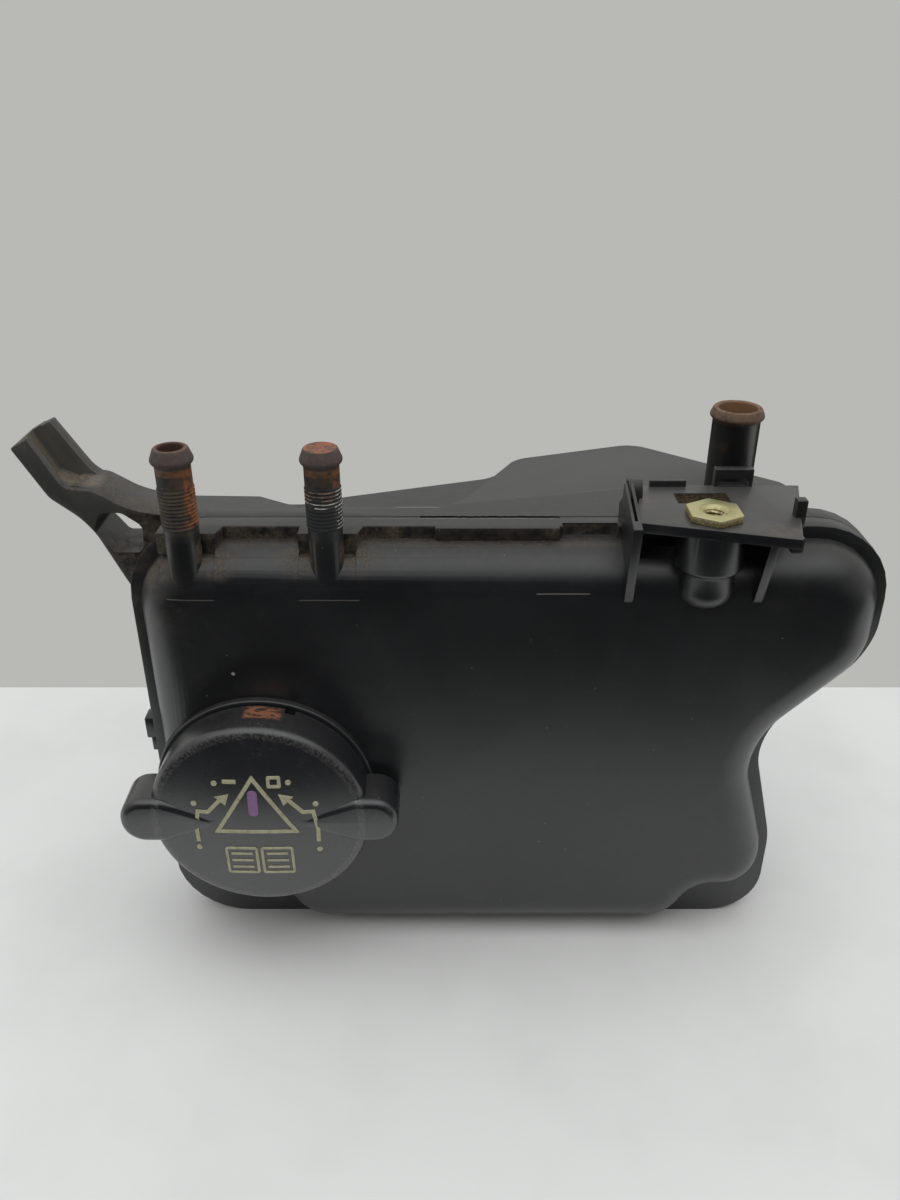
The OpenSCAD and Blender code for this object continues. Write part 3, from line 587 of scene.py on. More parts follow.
# %% Spigot coats
colour = f.coats(colour, (0.7 * olive * f.rise(low_cloud, 0.3, 0.6), rgb(72, 62, 44)),
                 (0.6 * ringed * left * crests * f.rise(cloud, 0.3, 0.6), rgb(108, 88, 66)),
                 (under * f.rise(low_cloud, 0.36, 0.6, 0.6), rgb(84, 64, 40)),
                 (ochre * f.rise(cloud, 0.3, 0.6, 0.8), rgb(146, 92, 48)),
                 (edge_1 * f.rise(cloud, 0.34, 0.62, 0.8), rgb(164, 98, 56)),
                 (edge_2 * f.rise(cloud, 0.35, 0.62, 0.8), rgb(158, 92, 48)),
                 (beads * (0.75 + 0.2 * cloud), rgb(84, 72, 68)),
                 (beads * f.rise(f.noise(1.1, 4, 0.8), 0.48, 0.66, 0.5), rgb(116, 90, 74)),
                 (tip * f.rise(cloud, 0.3, 0.62, 0.85), rgb(112, 78, 62)),
                 (right * tip * f.rise(f.noise(2.4, 3, 0.6), 0.42, 0.6, 0.8), rgb(158, 94, 66)),
                 (inside * 0.95, rgb(62, 36, 28)))
along = (0.6, 1, 2)
scrape = (right * ringed * crests * f.rise(f.z, 150.1, 150.4)
          * f.rise(f.noise(2.2, 3, 0.6, along), 0.4, 0.55))
streak = f.band(f.z, 148.5, 150, 0.1) * f.rise(f.noise(1.8, 2, 0.6, along), 0.42, 0.55)
chips = f.rise(f.x, -44.0, -42.9) * f.rise(f.noise(0.7, 3, 0.7), 0.42, 0.58)
white = f.math("MULTIPLY", right * ringed * crests * (streak + chips), 0.9, clamp=True)
colour = f.coats(colour, (0.8 * scrape, rgb(172, 130, 110)), (white, rgb(214, 208, 200)))
rust = f.math("ADD", beads, tip + 0.6 * under + edge_1, clamp=True)
rough = rough + 0.3 * grime + 0.4 * rust + 0.3 * ringed + 0.12 * above + 0.15 * pocket
height = height + 0.10 * beads * cloud + 0.14 * tip * cloud
front_material = f.done(colour, rough, height)

# %% [markdown]
# ## Rear shell
#
# The rear half is the same plastic. The outlet's bead is limed tan and brown, dirt lies in
# the fork arm's channel and at its root, and a dry film greys the arm. Its masks are bands
# and balls again, so that it reads like the front shell's.

# %% Outlet, fork arm and a worn edge with a painted highlight
f = Finish("shell_rear_black", Specular_IOR_Level=0.8)
colour, rough, height = plastic(f, (rgb(24, 25, 27), rgb(31, 32, 34)), 0.12, 0.33)
grains = granular(f)
cloud = f.noise(1.8, 4, 0.7)
outlet = f.near((65, 28, 150), 18, 1)
bead = outlet * f.rise(f.z, 158.7, 159.2)
tip = outlet * f.rise(f.up, 0.5, 0.95) * f.rise(f.z, 160.9, 161.8)
inner = outlet * f.fall(f.away((65, 28, 0), (1, 1, 0)), 5.5, 5.9)
mottle = f.rise(f.noise(1.3, 4, 0.75), 0.46, 0.62, 0.6)
stain = outlet * f.band(f.z, 150, 157.6, 2) * f.rise(f.noise(5, 3), 0.5, 0.7, 0.35)
colour = f.coats(colour, (bead * f.rise(cloud, 0.2, 0.55, 0.9), rgb(112, 86, 66)),
                 (tip * f.rise(cloud, 0.3, 0.6, 0.85), rgb(128, 98, 72)),
                 ((bead + tip) * mottle, rgb(70, 54, 40)),
                 (inner * f.rise(f.z, 140, 156) * 0.9, rgb(126, 92, 62)),
                 (stain, rgb(84, 66, 46)))
fork = f.fall(f.x, -104, -98) * f.rise(f.z, 132, 140)
film = fork * f.fall(f.up, 0.3, 0.7) * f.band(f.y, 5, 30, 1)
channel_floor = f.near((-122, 13.4, 154), 12, 4) * f.band(f.y, 8.9, 18.3, 0.2)
grime = (fork * f.rise(f.up, 0.05, 0.3) * f.band(f.y, 6, 24, 2)
         * f.rise(f.noise(3.2, 4, 0.75), 0.42, 0.66))
root = f.near((-98, 9, 128), 8, 9) * f.rise(f.noise(3, 4, 0.7), 0.36, 0.6)
# A pale line along the flange's rear edge: partly wear and dust, partly a painted highlight on the
# rounded edge.
worn = f.band(f.y, 12.25, 12.75, 0.12) * f.rise(f.z, 138.3, 138.8) * f.band(f.x, -46, -19, 2)
colour = f.coats(colour, (0.5 * film, rgb(92, 94, 86)), (0.55 * channel_floor, rgb(96, 94, 88)),
                 (channel_floor * f.band(f.y, 11, 16, 1.5) * grains * 0.6, SAND),
                 (0.25 * grime + 0.6 * root, DIRT), ((grime + root) * grains * 0.4, SAND),
                 (0.5 * worn, rgb(128, 128, 126)))
rough = rough + 0.3 * bead + 0.2 * grime + 0.2 * root
height = height + 0.08 * (grime + root) * grains + 0.10 * bead * cloud
rear_material = f.done(colour, rough, height)

# %% [markdown]
# ## Cap plastic and paint
#
# The cap is a greyer plastic than the shells, with a rubbed rim and a rusty smear on its
# skirt. Its marks are stamped paint, which has worn through to the plastic here and there.

# %% Cap finish
f = Finish("cap_black", Specular_IOR_Level=0.9, IOR=1.65)
colour, rough, height = plastic(f, (rgb(26, 27, 30), rgb(33, 34, 37)), 0.06, 0.27)
smear = f.band(f.x, -70, -61.5, 1.5) * f.band(f.z, 88.5, 92.5, 0.8) * f.band(f.y, -20, -15.5, 1)
smear = smear * f.rise(f.noise(1.6, 4, 0.7, (0.6, 1, 1)), 0.38, 0.6)
rim = f.noise(0.8, 3, 0.7)
edge = f.band(f.away((CAP_X, 0, CAP_Z), (1, 0, 1)), 28.0, 29.3, 0.7) * f.fall(f.y, -24, -23)
rubbed = f.near((-66, -26, 89), 4, 6) * f.rise(rim, 0.5, 0.7, 0.2)
colour = f.coats(colour, (0.8 * smear, rgb(150, 96, 66)),
                 (edge * f.rise(rim, 0.35, 0.7, 0.4), rgb(120, 118, 114)),
                 (rubbed, rgb(112, 112, 112)))
cap_material = f.done(colour, rough + 0.2 * smear, height)


# %% Stamped paint
def paint(name, tone):
    """Stamped paint, worn through here and there to the plastic."""
    f = Finish(name)
    worn = f.rise(f.noise(0.7, 4, 0.7), 0.60, 0.68) * f.rise(f.noise(4, 2), 0.4, 0.6)
    soil = f.rise(f.noise(1.4, 4, 0.7), 0.4, 0.75, 0.45)
    colour = f.coats(tone, (soil, rgb(124, 118, 92)), (0.85 * worn, rgb(52, 53, 54)))
    return f.done(colour, 0.55 + 0.2 * soil, 0.05 * f.noise(0.5, 3) - 0.05 * worn)


cream_paint = paint("cream_paint", rgb(196, 192, 160))
lilac_paint = paint("lilac_paint", rgb(158, 118, 168))

# %% [markdown]
# ## Rubber and metals
#
# The small pieces inside the cap are clean: black rubber with a faint bloom, brushed valve
# steel and darker spring wire. The insert is zinc plated and yellow passivated, so its tint
# wanders, and dirt clings to its sides, where it is no longer a bare metal.

# %% Rubber and steel
f = Finish("ring_rubber")
bloom = f.rise(f.noise(2.6, 4, 0.6), 0.45, 0.8, 0.4)
rubber = f.done(f.layer(rgb(28, 28, 29), bloom, rgb(62, 62, 64)), 0.52 + 0.2 * bloom,
                0.02 * f.noise(0.4, 2))


def metal(name, tone, dull, size, gloss):
    """Bare metal with fine turning marks and dull patches."""
    f = Finish(name, Metallic=1.0)
    marks = f.noise(size, 2, 0.5, (0.3, 6, 0.3))
    patches = f.rise(f.noise(3.0, 3), 0.4, 0.7)
    return f.done(f.layer(tone, 0.6 * patches, dull), gloss + 0.12 * marks + 0.1 * patches,
                  0.012 * marks)


bright_steel = metal("bright_steel", rgb(196, 198, 202), rgb(150, 152, 156), 1.2, 0.26)
spring_wire = metal("spring_wire", rgb(150, 152, 158), rgb(106, 108, 114), 0.8, 0.3)

# %% Yellow zinc
f = Finish("yellow_zinc")
tint = f.noise(5, 2)
low = f.fall(f.z, 146.4, 147.9) * f.rise(f.noise(1.2, 4, 0.75), 0.34, 0.6)
# Down in the bore, below 144.5 mm, the colour turns dark brown and the metal dulls.
down_bore = f.fall(f.z, 140, 144.5) * f.near((51.5, -9.9, 140), 7, 1)
flats = f.fall(f.up, 0.2, 0.5) * f.rise(f.noise(0.8, 4, 0.75), 0.36, 0.6, 0.75)
soil = f.math("ADD", low + flats, 0.8 * down_bore, clamp=True)
colour = f.coats(rgb(226, 217, 166), (f.rise(tint, 0.4, 0.62), rgb(214, 216, 160)),
                 (f.rise(f.noise(2.2, 2), 0.55, 0.75, 0.5), rgb(230, 212, 174)),
                 (0.85 * soil, rgb(104, 84, 48)))
f.feed(f.shader.inputs["Metallic"], 0.85 - 0.7 * soil)
insert_material = f.done(colour, 0.30 + 0.1 * tint + 0.4 * soil,
                         0.02 * f.noise(0.6, 3) + 0.08 * soil * granular(f))

# %% [markdown]
# ## Vent spigots and outlet pipe
#
# A hose spigot is a turned form: a barrel with fine grip rings, which hold the hose, and a
# rounded bead at its tip, which keeps it from slipping off. Its half profile is drawn once
# and spun. The left one is open; the right one is closed, and slightly sunk inside its rim.


# %% Spigot profiles
FIRST_RING, RING_PITCH = 3.5, 1.0


def barrel_profile(low, barrel, rings):
    """The outside from the axis up through the grip rings."""
    profile = [(0, low), (barrel, low)]
    for k in range(rings):
        base = TOP + FIRST_RING + k * RING_PITCH
        profile += [(barrel, base), (barrel + 0.17, base + 0.2), (barrel + 0.22, base + 0.4),
                    (barrel + 0.17, base + 0.6), (barrel, base + 0.8)]
    return profile


def bead_profile(tip, barrel, bead, height):
    """The bead at the tip: undercut below, widest low down, its shoulder sloping in."""
    r = 0.28 * height
    return ([(barrel, tip - height), (barrel + 0.06, tip - height + 0.1)]
            + arc(bead - r, tip - height + 0.3 + r, r, -65, 25, 6)
            + arc(bead - 0.22 * height - 0.5, tip - 0.6, 0.6, 25, 90, 4))


def spigot(x, y, low, tip, barrel, bead, rings, bore=0, depth=0, height=4.6):
    """A turned spigot; a bore goes down by its depth, and without one the tip is closed."""
    inside = [(bead - 2.2, tip - 0.25), (0, tip - 0.45)]
    if bore:
        inside = arc(bore + 0.5, tip - 0.5, 0.5, 90, 180, 3) + [(bore, tip - depth),
                                                                (0, tip - depth)]
    return lathe(barrel_profile(low, barrel, rings) + bead_profile(tip, barrel, bead, height)
                 + inside, (x, y, 0))


SPIGOT_TIP = TOP + 24.5
SPIGOT_LOW = TOP - 17
print("spigot tips at", SPIGOT_TIP, "mm")

# %% [markdown]
# ## Front shell
#
# The dish is a slab whose whole front rim is rounded by its full depth, which gives the
# soft roll that catches the light. Pads behind the spigots, a thicker stretch in the
# middle of the top edge, two clip lugs and the ragged flash of the weld belong to the same
# moulding. The inside is cut out with the same outline moved in by the wall, so that the
# shell is hollow when the cap is off.


# %% Dish and flange
def dish(inset, low, high):
    """The rounded dish, moved in by inset, between two distances along Y."""
    bm = prism(inset_corners(DISH, inset), high, low)
    front = low
    return soften(bm, DISH_DEPTH - inset,
                  lambda e: abs(middle(e).y - front) < 0.01, segments=12, clamp=False)


def flange(near, far, radius=0.45):
    return soften(prism(FLANGE, near, far), radius, segments=2)


def pad(x):
    """Shoulder of the flange behind a spigot, chamfered on its right."""
    return soften(prism([(x - 7.8, 1, 0), (x - 7.8, -4.7, 0), (x + 7.8, -4.7, 0),
                         (x + 9.4, 1, 0)], TOP - 6, TOP, upright=False), 0.35, segments=2)


def notch(x):
    """Step cut into the dish's rounded rim in front of a pad."""
    return box((x - 7.5, -9.4, TOP - 5.8), (x + 7.5, -4, TOP + 1), 0.5)


def weld_flash():
    """Thin ragged flash that the weld squeezed out along the middle of the top."""
    xs = [-23 + 0.8 * k for k in range(48)]
    near = [(x, WELD - 0.15 - random.uniform(0, 0.5), 0) for x in xs]
    far = [(x, WELD - 0.02, 0) for x in xs]
    return prism(near + far[::-1], TOP - 0.6, TOP + 0.3, upright=False)


print("shapes of the front shell ready")

# %% First steps of the front shell
front_steps = [
    (CUT, notch(LEFT_SPIGOT)), (CUT, notch(RIGHT_SPIGOT)),
    (CUT, box((32.9, -9.6, TOP - 6), (64, -0.2, TOP + 1), 0.5)),
    (ADD, flange(0, WELD)),
    (ADD, pad(LEFT_SPIGOT)), (ADD, pad(RIGHT_SPIGOT)),
    (ADD, box((-19, -1.4, TOP - 3.5), (14, 1, TOP))),
    (CUT, box((14.8, -1, TOP - 3.5), (29.4, 2.1, TOP + 1))),
    (ADD, weld_flash()),
    (ADD, box((-18, -1.4, 0), (41, 1, 3.5))),
    (ADD, box((-105.2, 0.6, 69.5), (-101.6, WELD - 0.2, 76.6), 0.5)),
    (ADD, box((-104.0, 0.6, 65), (-101.6, WELD - 0.2, 70), 0.5)),
]
print(len(front_steps), "first steps for the front shell")

# %% [markdown]
# ## Insert bracket
#
# A plate turned by 15 degrees stands over the rim on two thin legs and a round boss, which
# holds the insert. A pocket is cut beside the boss; a slotted leg, a stub, a thickened end
# with a fin, a low rib and a tie loop finish its edges. Thin moulded walls are prisms with a
# hair of radius, laid flat first and then turned upright.

# %% Bracket pieces
INSERT_X, INSERT_Y = 51.5, -9.9
PLATE_TOP, PLATE_T = TOP + 7, 2.8
TURN = math.radians(15)
PLATE_UNDER = PLATE_TOP - PLATE_T
near_left = Vector((30.6, -12.9))
near_right = near_left + 40.8 * Vector((math.cos(TURN), -math.sin(TURN)))
BACK = 11.4
PLATE = [(*near_left, 0), (*near_right, 0),
         (near_right.x + (BACK - near_right.y) * math.tan(TURN), BACK, 0),
         (near_left.x + (BACK - near_left.y) * math.tan(TURN), BACK, 0)]


def side_wall(x, thick, corners, radius=0.3):
    """A wall that stands across X, from (along Y, up Z) corners."""
    bm = prism([(y, z, 0) for y, z in corners], 0, thick, upright=False)
    turn = Matrix(((0, 0, 1), (1, 0, 0), (0, 1, 0)))
    bmesh.ops.rotate(bm, cent=(0, 0, 0), matrix=turn, verts=bm.verts[:])
    bmesh.ops.translate(bm, vec=(x, 0, 0), verts=bm.verts[:])
    bmesh.ops.recalc_face_normals(bm, faces=bm.faces[:])
    return soften(bm, radius, segments=2)


left_leg = side_wall(30.3, 2.4, [(WELD, 127.5), (-11, 121.5), (-12.8, 123.5),
                                 (-16.6, PLATE_UNDER + 0.2), (-16.6, PLATE_TOP - 0.5),
                                 (1.6, PLATE_TOP + 4.6), (2.2, PLATE_TOP + 0.5),
                                 (WELD, PLATE_UNDER + 0.2)], 0.2)
right_leg = side_wall(64.1, 2.4, [(WELD, 127.5), (-11, 121.5), (-12.8, 123.5),
                                  (-19.5, PLATE_UNDER + 0.2), (WELD, PLATE_UNDER + 0.2)])
stub = side_wall(31.6, 4, [(2.2, PLATE_UNDER), (WELD, PLATE_UNDER), (WELD, PLATE_TOP + 4.4),
                           (4, PLATE_TOP + 4.4), (2.2, PLATE_TOP + 1.5)])
boss = lathe([(0, 121.6)] + arc(2.2, 126.6, 5.0, -90, 0, 8) + [(7.2, 131.4), (7.5, 132.1),
             (8.5, 132.8), (8.75, 133.6), (8.75, PLATE_UNDER + 0.4), (0, PLATE_UNDER + 0.4)],
             (INSERT_X, INSERT_Y, 0))
bracket_steps = [
    (ADD, soften(prism(PLATE, PLATE_UNDER, PLATE_TOP, upright=False), 0.3, segments=2)),
    (ADD, left_leg), (ADD, right_leg),
    (ADD, box((30.3, 3.8, TOP - 1), (75.5, WELD - 0.05, PLATE_UNDER + 0.2), 0)),
    (ADD, boss), (ADD, stub),
    (CUT, box((31.05, -13.4, PLATE_TOP - 1.6), (31.85, 4, PLATE_TOP + 6), 0.1)),
    (ADD, box((67.8, -22.7, PLATE_UNDER - 1.3), (70.7, -9, PLATE_TOP - 0.04), 0.25)),
    (ADD, box((71.9, -10.5, PLATE_UNDER), (74.6, -7.5, PLATE_TOP + 4.6), 0.3)),
    (ADD, box((38.8, BACK - 1.3, PLATE_TOP - 0.3), (48.6, BACK + 0.2, PLATE_TOP + 1.7), 0.2)),
    (ADD, box((56.2, BACK - 1.0, PLATE_UNDER + 0.3), (66.6, BACK + 1.7, PLATE_TOP + 4.8), 0.3)),
    (CUT, box((57.2, BACK - 2, PLATE_TOP + 0.2), (65.6, BACK + 3, PLATE_TOP + 2.3), 0.2)),
    (CUT, box((44.3, -1.2, PLATE_UNDER - 1), (58.3, 5.6, PLATE_TOP + 1), 0.2)),
]
print("bracket from", len(bracket_steps), "steps")

# %% [markdown]
# ## Filler neck and baffles
#
# Under the cap a round collar grows out of the dish, and inside it the neck stands with
# two bayonet lugs. Two baffle ribs stiffen the tank inside. They show only when the cap is
# off, so they are plain.

# %% Neck, lugs and baffles
NECK_BORE_R, NECK_R, NECK_OUT = 20.0, 24.4, 23.2
BAFFLES, RIB = (-18, 30), 2.5
cap_axis = (CAP_X, 0, CAP_Z)


def on_cap(profile, steps=96):
    """A turned form on the cap's axis; levels count forward from the flange."""
    return lathe(profile, cap_axis, "Y", steps)


def sector(inner, outer, low, high, centre, span, steps=12):
    """A ring sector round the cap's axis, angles in degrees."""
    bm = bmesh.new()
    points = [bm.verts.new(p) for p in ((inner, 0, low), (outer, 0, low),
                                        (outer, 0, high), (inner, 0, high))]
    bm.faces.new(points)
    bmesh.ops.spin(bm, geom=bm.verts[:] + bm.edges[:] + bm.faces[:], cent=(0, 0, 0),
                   axis=(0, 0, 1), angle=math.radians(span), steps=steps)
    turn = Matrix.Rotation(math.radians(centre - span / 2), 3, "Z")
    bmesh.ops.rotate(bm, cent=(0, 0, 0), matrix=turn, verts=bm.verts[:])
    lean_forward(bm)
    bmesh.ops.translate(bm, vec=cap_axis, verts=bm.verts[:])
    bmesh.ops.recalc_face_normals(bm, faces=bm.faces[:])
    return bm


neck_steps = [
    (ADD, on_cap([(0, 6), (31.3, 6)] + arc(30.6, 13.3, 0.7, 0, 90, 4) + [(0, 14)])),
    (CUT, dish(WALL, -DISH_DEPTH + WALL, WELD + 1)),
    (ADD, on_cap([(NECK_BORE_R, 3), (NECK_R, 3)] + arc(NECK_R - 0.5, NECK_OUT - 0.5, 0.5, 0, 90, 3)
                 + arc(NECK_BORE_R + 0.5, NECK_OUT - 0.5, 0.5, 90, 180, 3)
                 + [(NECK_BORE_R, 3)])),
    *((ADD, sector(NECK_R - 1, NECK_R + 3, 18.2, 21.2, centre, 70)) for centre in (0, 180)),
    *((ADD, box((x - RIB / 2, -DISH_DEPTH + 1, 14), (x + RIB / 2, WELD - 0.05, 125), 0))
      for x in BAFFLES),
    (CUT, plug(NECK_BORE_R, -1, 26, cap_axis, "Y", 96)),
]
print("neck and baffles from", len(neck_steps), "steps")

# %% Front shell joined
front = combine("front_moulding", dish(0, -DISH_DEPTH, 1),
                front_steps + bracket_steps + [
                    (ADD, spigot(LEFT_SPIGOT, SPIGOT_Y, SPIGOT_LOW, SPIGOT_TIP, 4.5, 5.4, 11,
                                 bore=3.0, depth=39)),
                    (ADD, spigot(RIGHT_SPIGOT, SPIGOT_Y, SPIGOT_LOW, SPIGOT_TIP, 4.5, 5.4, 11))]
                + neck_steps + [
                    (CUT, plug(4.6, 134, 148, (INSERT_X, INSERT_Y, 0)))])
piece("front_moulding", front, "tank", front_material, ["front_shell"])

# %% [markdown]
# ## Rear shell
#
# Seen from above, the rear body is shallow on the left and swings out in an S to its deep
# part, which is level with the flange. It is the meeting of two prisms, a front outline
# pushed back and a plan pulled up. The rear top edges are rounded before the join. The two
# plans sink into the flange by different depths and one is a hair smaller, because faces
# that share a plane can leave the join open.


# %% Rear bodies
REAR_PLAN = [(-99.6, WELD + 0.6, 0.4), (101.1, WELD + 0.6, 0.4), (101.1, 15.7, 2.5),
             (82, 15.7, 2.5), (82, 30, 5), (43, 63, 8), (5, 49.5, 9), (-4, 41, 7),
             (-45, 27, 14), (-56, 21.5, 8), (-99.6, 21.5, 5)]
RAISED_PLAN = [(-30, WELD + 0.3, 0.4), (82, WELD + 0.3, 0.4), (82, 30, 5), (43, 63, 8),
               (5, 49.5, 9), (-13.3, 12.9, 14), (-30, 12.9, 0.2)]


def rear_body(plan, front_inset, plan_inset, radius=0.0):
    """A plan pulled up and trimmed by the flange outline."""
    column = prism(inset_corners(plan, plan_inset), -5, 150, upright=False)
    front = prism(inset_corners(FLANGE, front_inset), 0, 80)
    made = combine("rear_part", column, [(KEEP, front)])
    if radius:
        bmesh.ops.dissolve_limit(made, angle_limit=math.radians(0.5), verts=made.verts[:],
                                 edges=made.edges[:])
        soften(made, radius, lambda e: middle(e).y > 13.2 and e.calc_length() > 0.02,
               segments=4, least=55)
    return made


print("rear plan with", len(REAR_PLAN), "corners")

# %% Fork arm, top strip and baffles
ARM = [(-129.8, 158.1, 0.6), (-122.2, 144.2, 6), (-112.6, 136.6, 20), (-103.6, 116, 20),
       (-96.6, 109, 1), (-90.6, 133, 1), (-90.6, 139, 1), (-101.1, 140.8, 20),
       (-110.2, 146.2, 6), (-118, 147.2, 3), (-125.1, 160.8, 0.6)]
CHEEK = [(-126.6, 159.9, 0.3), (-118.8, 145.1, 0.5), (-108.2, 142.4, 0.4),
         (-109.2, 144, 0.4), (-114.4, 148.3, 8), (-122.7, 161.7, 0.4)]
EYE = [(-111.8, 134.4, 2.4), (-107.2, 128.2, 2), (-99.2, 128.2, 2), (-98.2, 136, 3),
       (-103.6, 140, 3), (-109.6, 140, 2.6)]
CHANNEL = [(-3, -3, 0), (12.5, -3, 0), (16.5, 0.4, 0), (16.5, 6, 0), (-3, 6, 0)]


def channel():
    """The guide channel's cutter, laid along the arm's top edge."""
    bm = prism(CHANNEL, 8.8, 18.0)
    turn = Matrix.Rotation(math.atan2(13.6, 7.1), 3, "Y")
    bmesh.ops.rotate(bm, cent=(0, 0, 0), matrix=turn, verts=bm.verts[:])
    bmesh.ops.translate(bm, vec=(-125.1, 0, 160.8), verts=bm.verts[:])
    return bm


arm = combine("arm", soften(prism(ARM, WELD + 0.1, 22.2), 0.5, segments=2), [
    (ADD, soften(prism(CHEEK, 18.0, 22.05), 0.4, segments=2)),
    (CUT, prism(EYE, 0, 30)), (CUT, channel())])
strip = prism([(-94.6, WELD + 2, 0), (-56.6, WELD + 2, 0), (-56.6, 13.7, 0),
               (-60.6, 15.7, 0), (-68.6, 20.8, 0), (-90.6, 21.6, 0), (-94.6, 22.2, 0)],
              134.2, TOP - 0.1, upright=False)
OUTLET, OUTLET_TIP, OUTLET_BORE = (65, 28), TOP + 23.5, 5.35


def baffle(x):
    """A rib across the tank, trimmed to the body it stiffens."""
    return combine("baffle", rear_body(REAR_PLAN, 3, 1),
                   [(KEEP, box((x - RIB / 2, WELD, 14), (x + RIB / 2, 68, 125), 0))])


print("arm and strip ready")

# %% Rear shell joined
rear = combine("rear_moulding", flange(WELD, FLANGE_BACK), [
    (ADD, rear_body(REAR_PLAN, 3, 0.03, 1.6)), (ADD, rear_body(RAISED_PLAN, 0, 0, 2.2)),
    (ADD, arm), (ADD, soften(strip, 0.4, segments=2)),
    (ADD, spigot(*OUTLET, TOP - 2.5, OUTLET_TIP, 6.55, 7.45, 0, OUTLET_BORE, 20, 3.4)),
    (CUT, prism(inset_corners(DISH, WALL), WELD - 1, FLANGE_BACK - 2.6)),
    (CUT, rear_body(REAR_PLAN, 6, 3)), (CUT, rear_body(RAISED_PLAN, 3, 3)),
    *((ADD, baffle(x)) for x in BAFFLES),
    (CUT, plug(OUTLET_BORE, 135, 150, (*OUTLET, 0)))])
piece("rear_moulding", rear, "tank", rear_material, ["rear_shell"])

# %% [markdown]
# ## Threaded insert
#
# A zinc-plated hexagon with a chamfered, threaded bore. A hexagon is a six-sided cylinder;
# its top edge is bevelled, and the thread is a small triangle spun upward in a helix, so
# that light runs round it, which a bump on a smooth bore would not do.

# %% Insert
HEX_ACROSS, HEX_HIGH, BORE_R = 13.0, 2.1, 2.5
HEX_TOP = PLATE_TOP + HEX_HIGH
insert_axis = (INSERT_X, INSERT_Y, 0)


def hexagon():
    bm = bmesh.new()
    corner_r = HEX_ACROSS / math.sqrt(3)
    made = bmesh.ops.create_cone(bm, cap_ends=True, segments=6, depth=HEX_HIGH,
                                 radius1=corner_r, radius2=corner_r)
    bmesh.ops.translate(bm, vec=(INSERT_X, INSERT_Y, PLATE_TOP + HEX_HIGH / 2),
                        verts=made["verts"])
    return soften(bm, 0.3, segments=3)


def thread():
    """The crests of the thread as a triangle wound up the bore."""
    bm = bmesh.new()
    low, pitch, turns = PLATE_TOP - 11.4, 1.0, 12
    points = [bm.verts.new(p) for p in ((BORE_R + 0.35, 0, low), (BORE_R - 0.12, 0, low + 0.42),
                                        (BORE_R - 0.12, 0, low + 0.5),
                                        (BORE_R + 0.35, 0, low + 0.92))]
    bm.faces.new(points)
    start = bm.verts[:] + bm.edges[:] + bm.faces[:]
    bmesh.ops.spin(bm, geom=start, cent=(0, 0, 0), axis=(0, 0, 1), dvec=(0, 0, pitch / 24),
                   angle=math.tau * turns, steps=24 * turns)
    bmesh.ops.translate(bm, vec=insert_axis, verts=bm.verts[:])
    bmesh.ops.recalc_face_normals(bm, faces=bm.faces[:])
    return bm


barrel = plug(4.5, PLATE_TOP - 11.9, PLATE_TOP + 0.6, insert_axis)
bore = lathe([(0, PLATE_TOP - 13), (BORE_R + 0.3, PLATE_TOP - 13), (BORE_R + 0.3, HEX_TOP - 1.1),
              (BORE_R + 1.25, HEX_TOP - 0.15), (BORE_R + 1.6, HEX_TOP + 1), (0, HEX_TOP + 1)],
             insert_axis)
insert = combine("insert", hexagon(), [(ADD, barrel), (CUT, bore), (ADD, thread())])
piece("insert_hexagon", insert, "tank", insert_material,
      ["threaded_insert"], smooth_to=30)

# %% [markdown]
# ## Cap cover
#
# The cap is a turned form, a low dome over a skirt, with two rounded wings. Both wings are
# one waisted plate: it stands a hair above the rim and sinks into the dome toward the
# middle, so each wing runs on as a fading ridge. Hooks and a swivel socket sit inside.


# %% Dome, skirt and wings
SKIRT_REAR, RIM, DOME = 14.3, 26.5, 1.78
CAP_R, SKIRT_IN, CAP_INNER = 30.5, 27.9, 24.5
DOME_R = CAP_R - 2.5
WING_W, WING_H, WING_FRONT = 38.7, 7.25, 27.9


def dome_height(radius):
    """How far the face stands forward at a distance from the cap's axis."""
    return RIM + DOME * (1 - (min(radius, DOME_R) / DOME_R) ** 2)


def wing_plate():
    """Both wings as one waisted plate; its soft front sinks into the domed face."""
    side = [(-WING_W, -WING_H, 6.9), (-26.5, -WING_H, 3), (-14, -2.6, 4), (14, -2.6, 4),
            (26.5, -WING_H, 3), (WING_W, -WING_H, 6.9)]
    corners = side + [(x, -z, r) for x, z, r in side[::-1]]
    bm = prism([(CAP_X + x, CAP_Z + z, r) for x, z, r in corners], -WING_FRONT, -SKIRT_REAR,
               steps=14)
    bm = soften(bm, 3.4, lambda e: abs(middle(e).y + WING_FRONT) < 0.01, segments=8)
    return soften(bm, 1.2, lambda e: abs(middle(e).y + SKIRT_REAR) < 0.01)


cap_profile = [(0, SKIRT_REAR), (CAP_R - 0.7, SKIRT_REAR)]
cap_profile += arc(CAP_R - 0.7, SKIRT_REAR + 0.5, 0.5, -60, 0, 3)
cap_profile += arc(DOME_R, RIM - 2.5, 2.5, 0, 85, 9)
cap_profile += [(DOME_R * k / 10, dome_height(DOME_R * k / 10)) for k in range(9, -1, -1)]
print("cap profile with", len(cap_profile), "points")

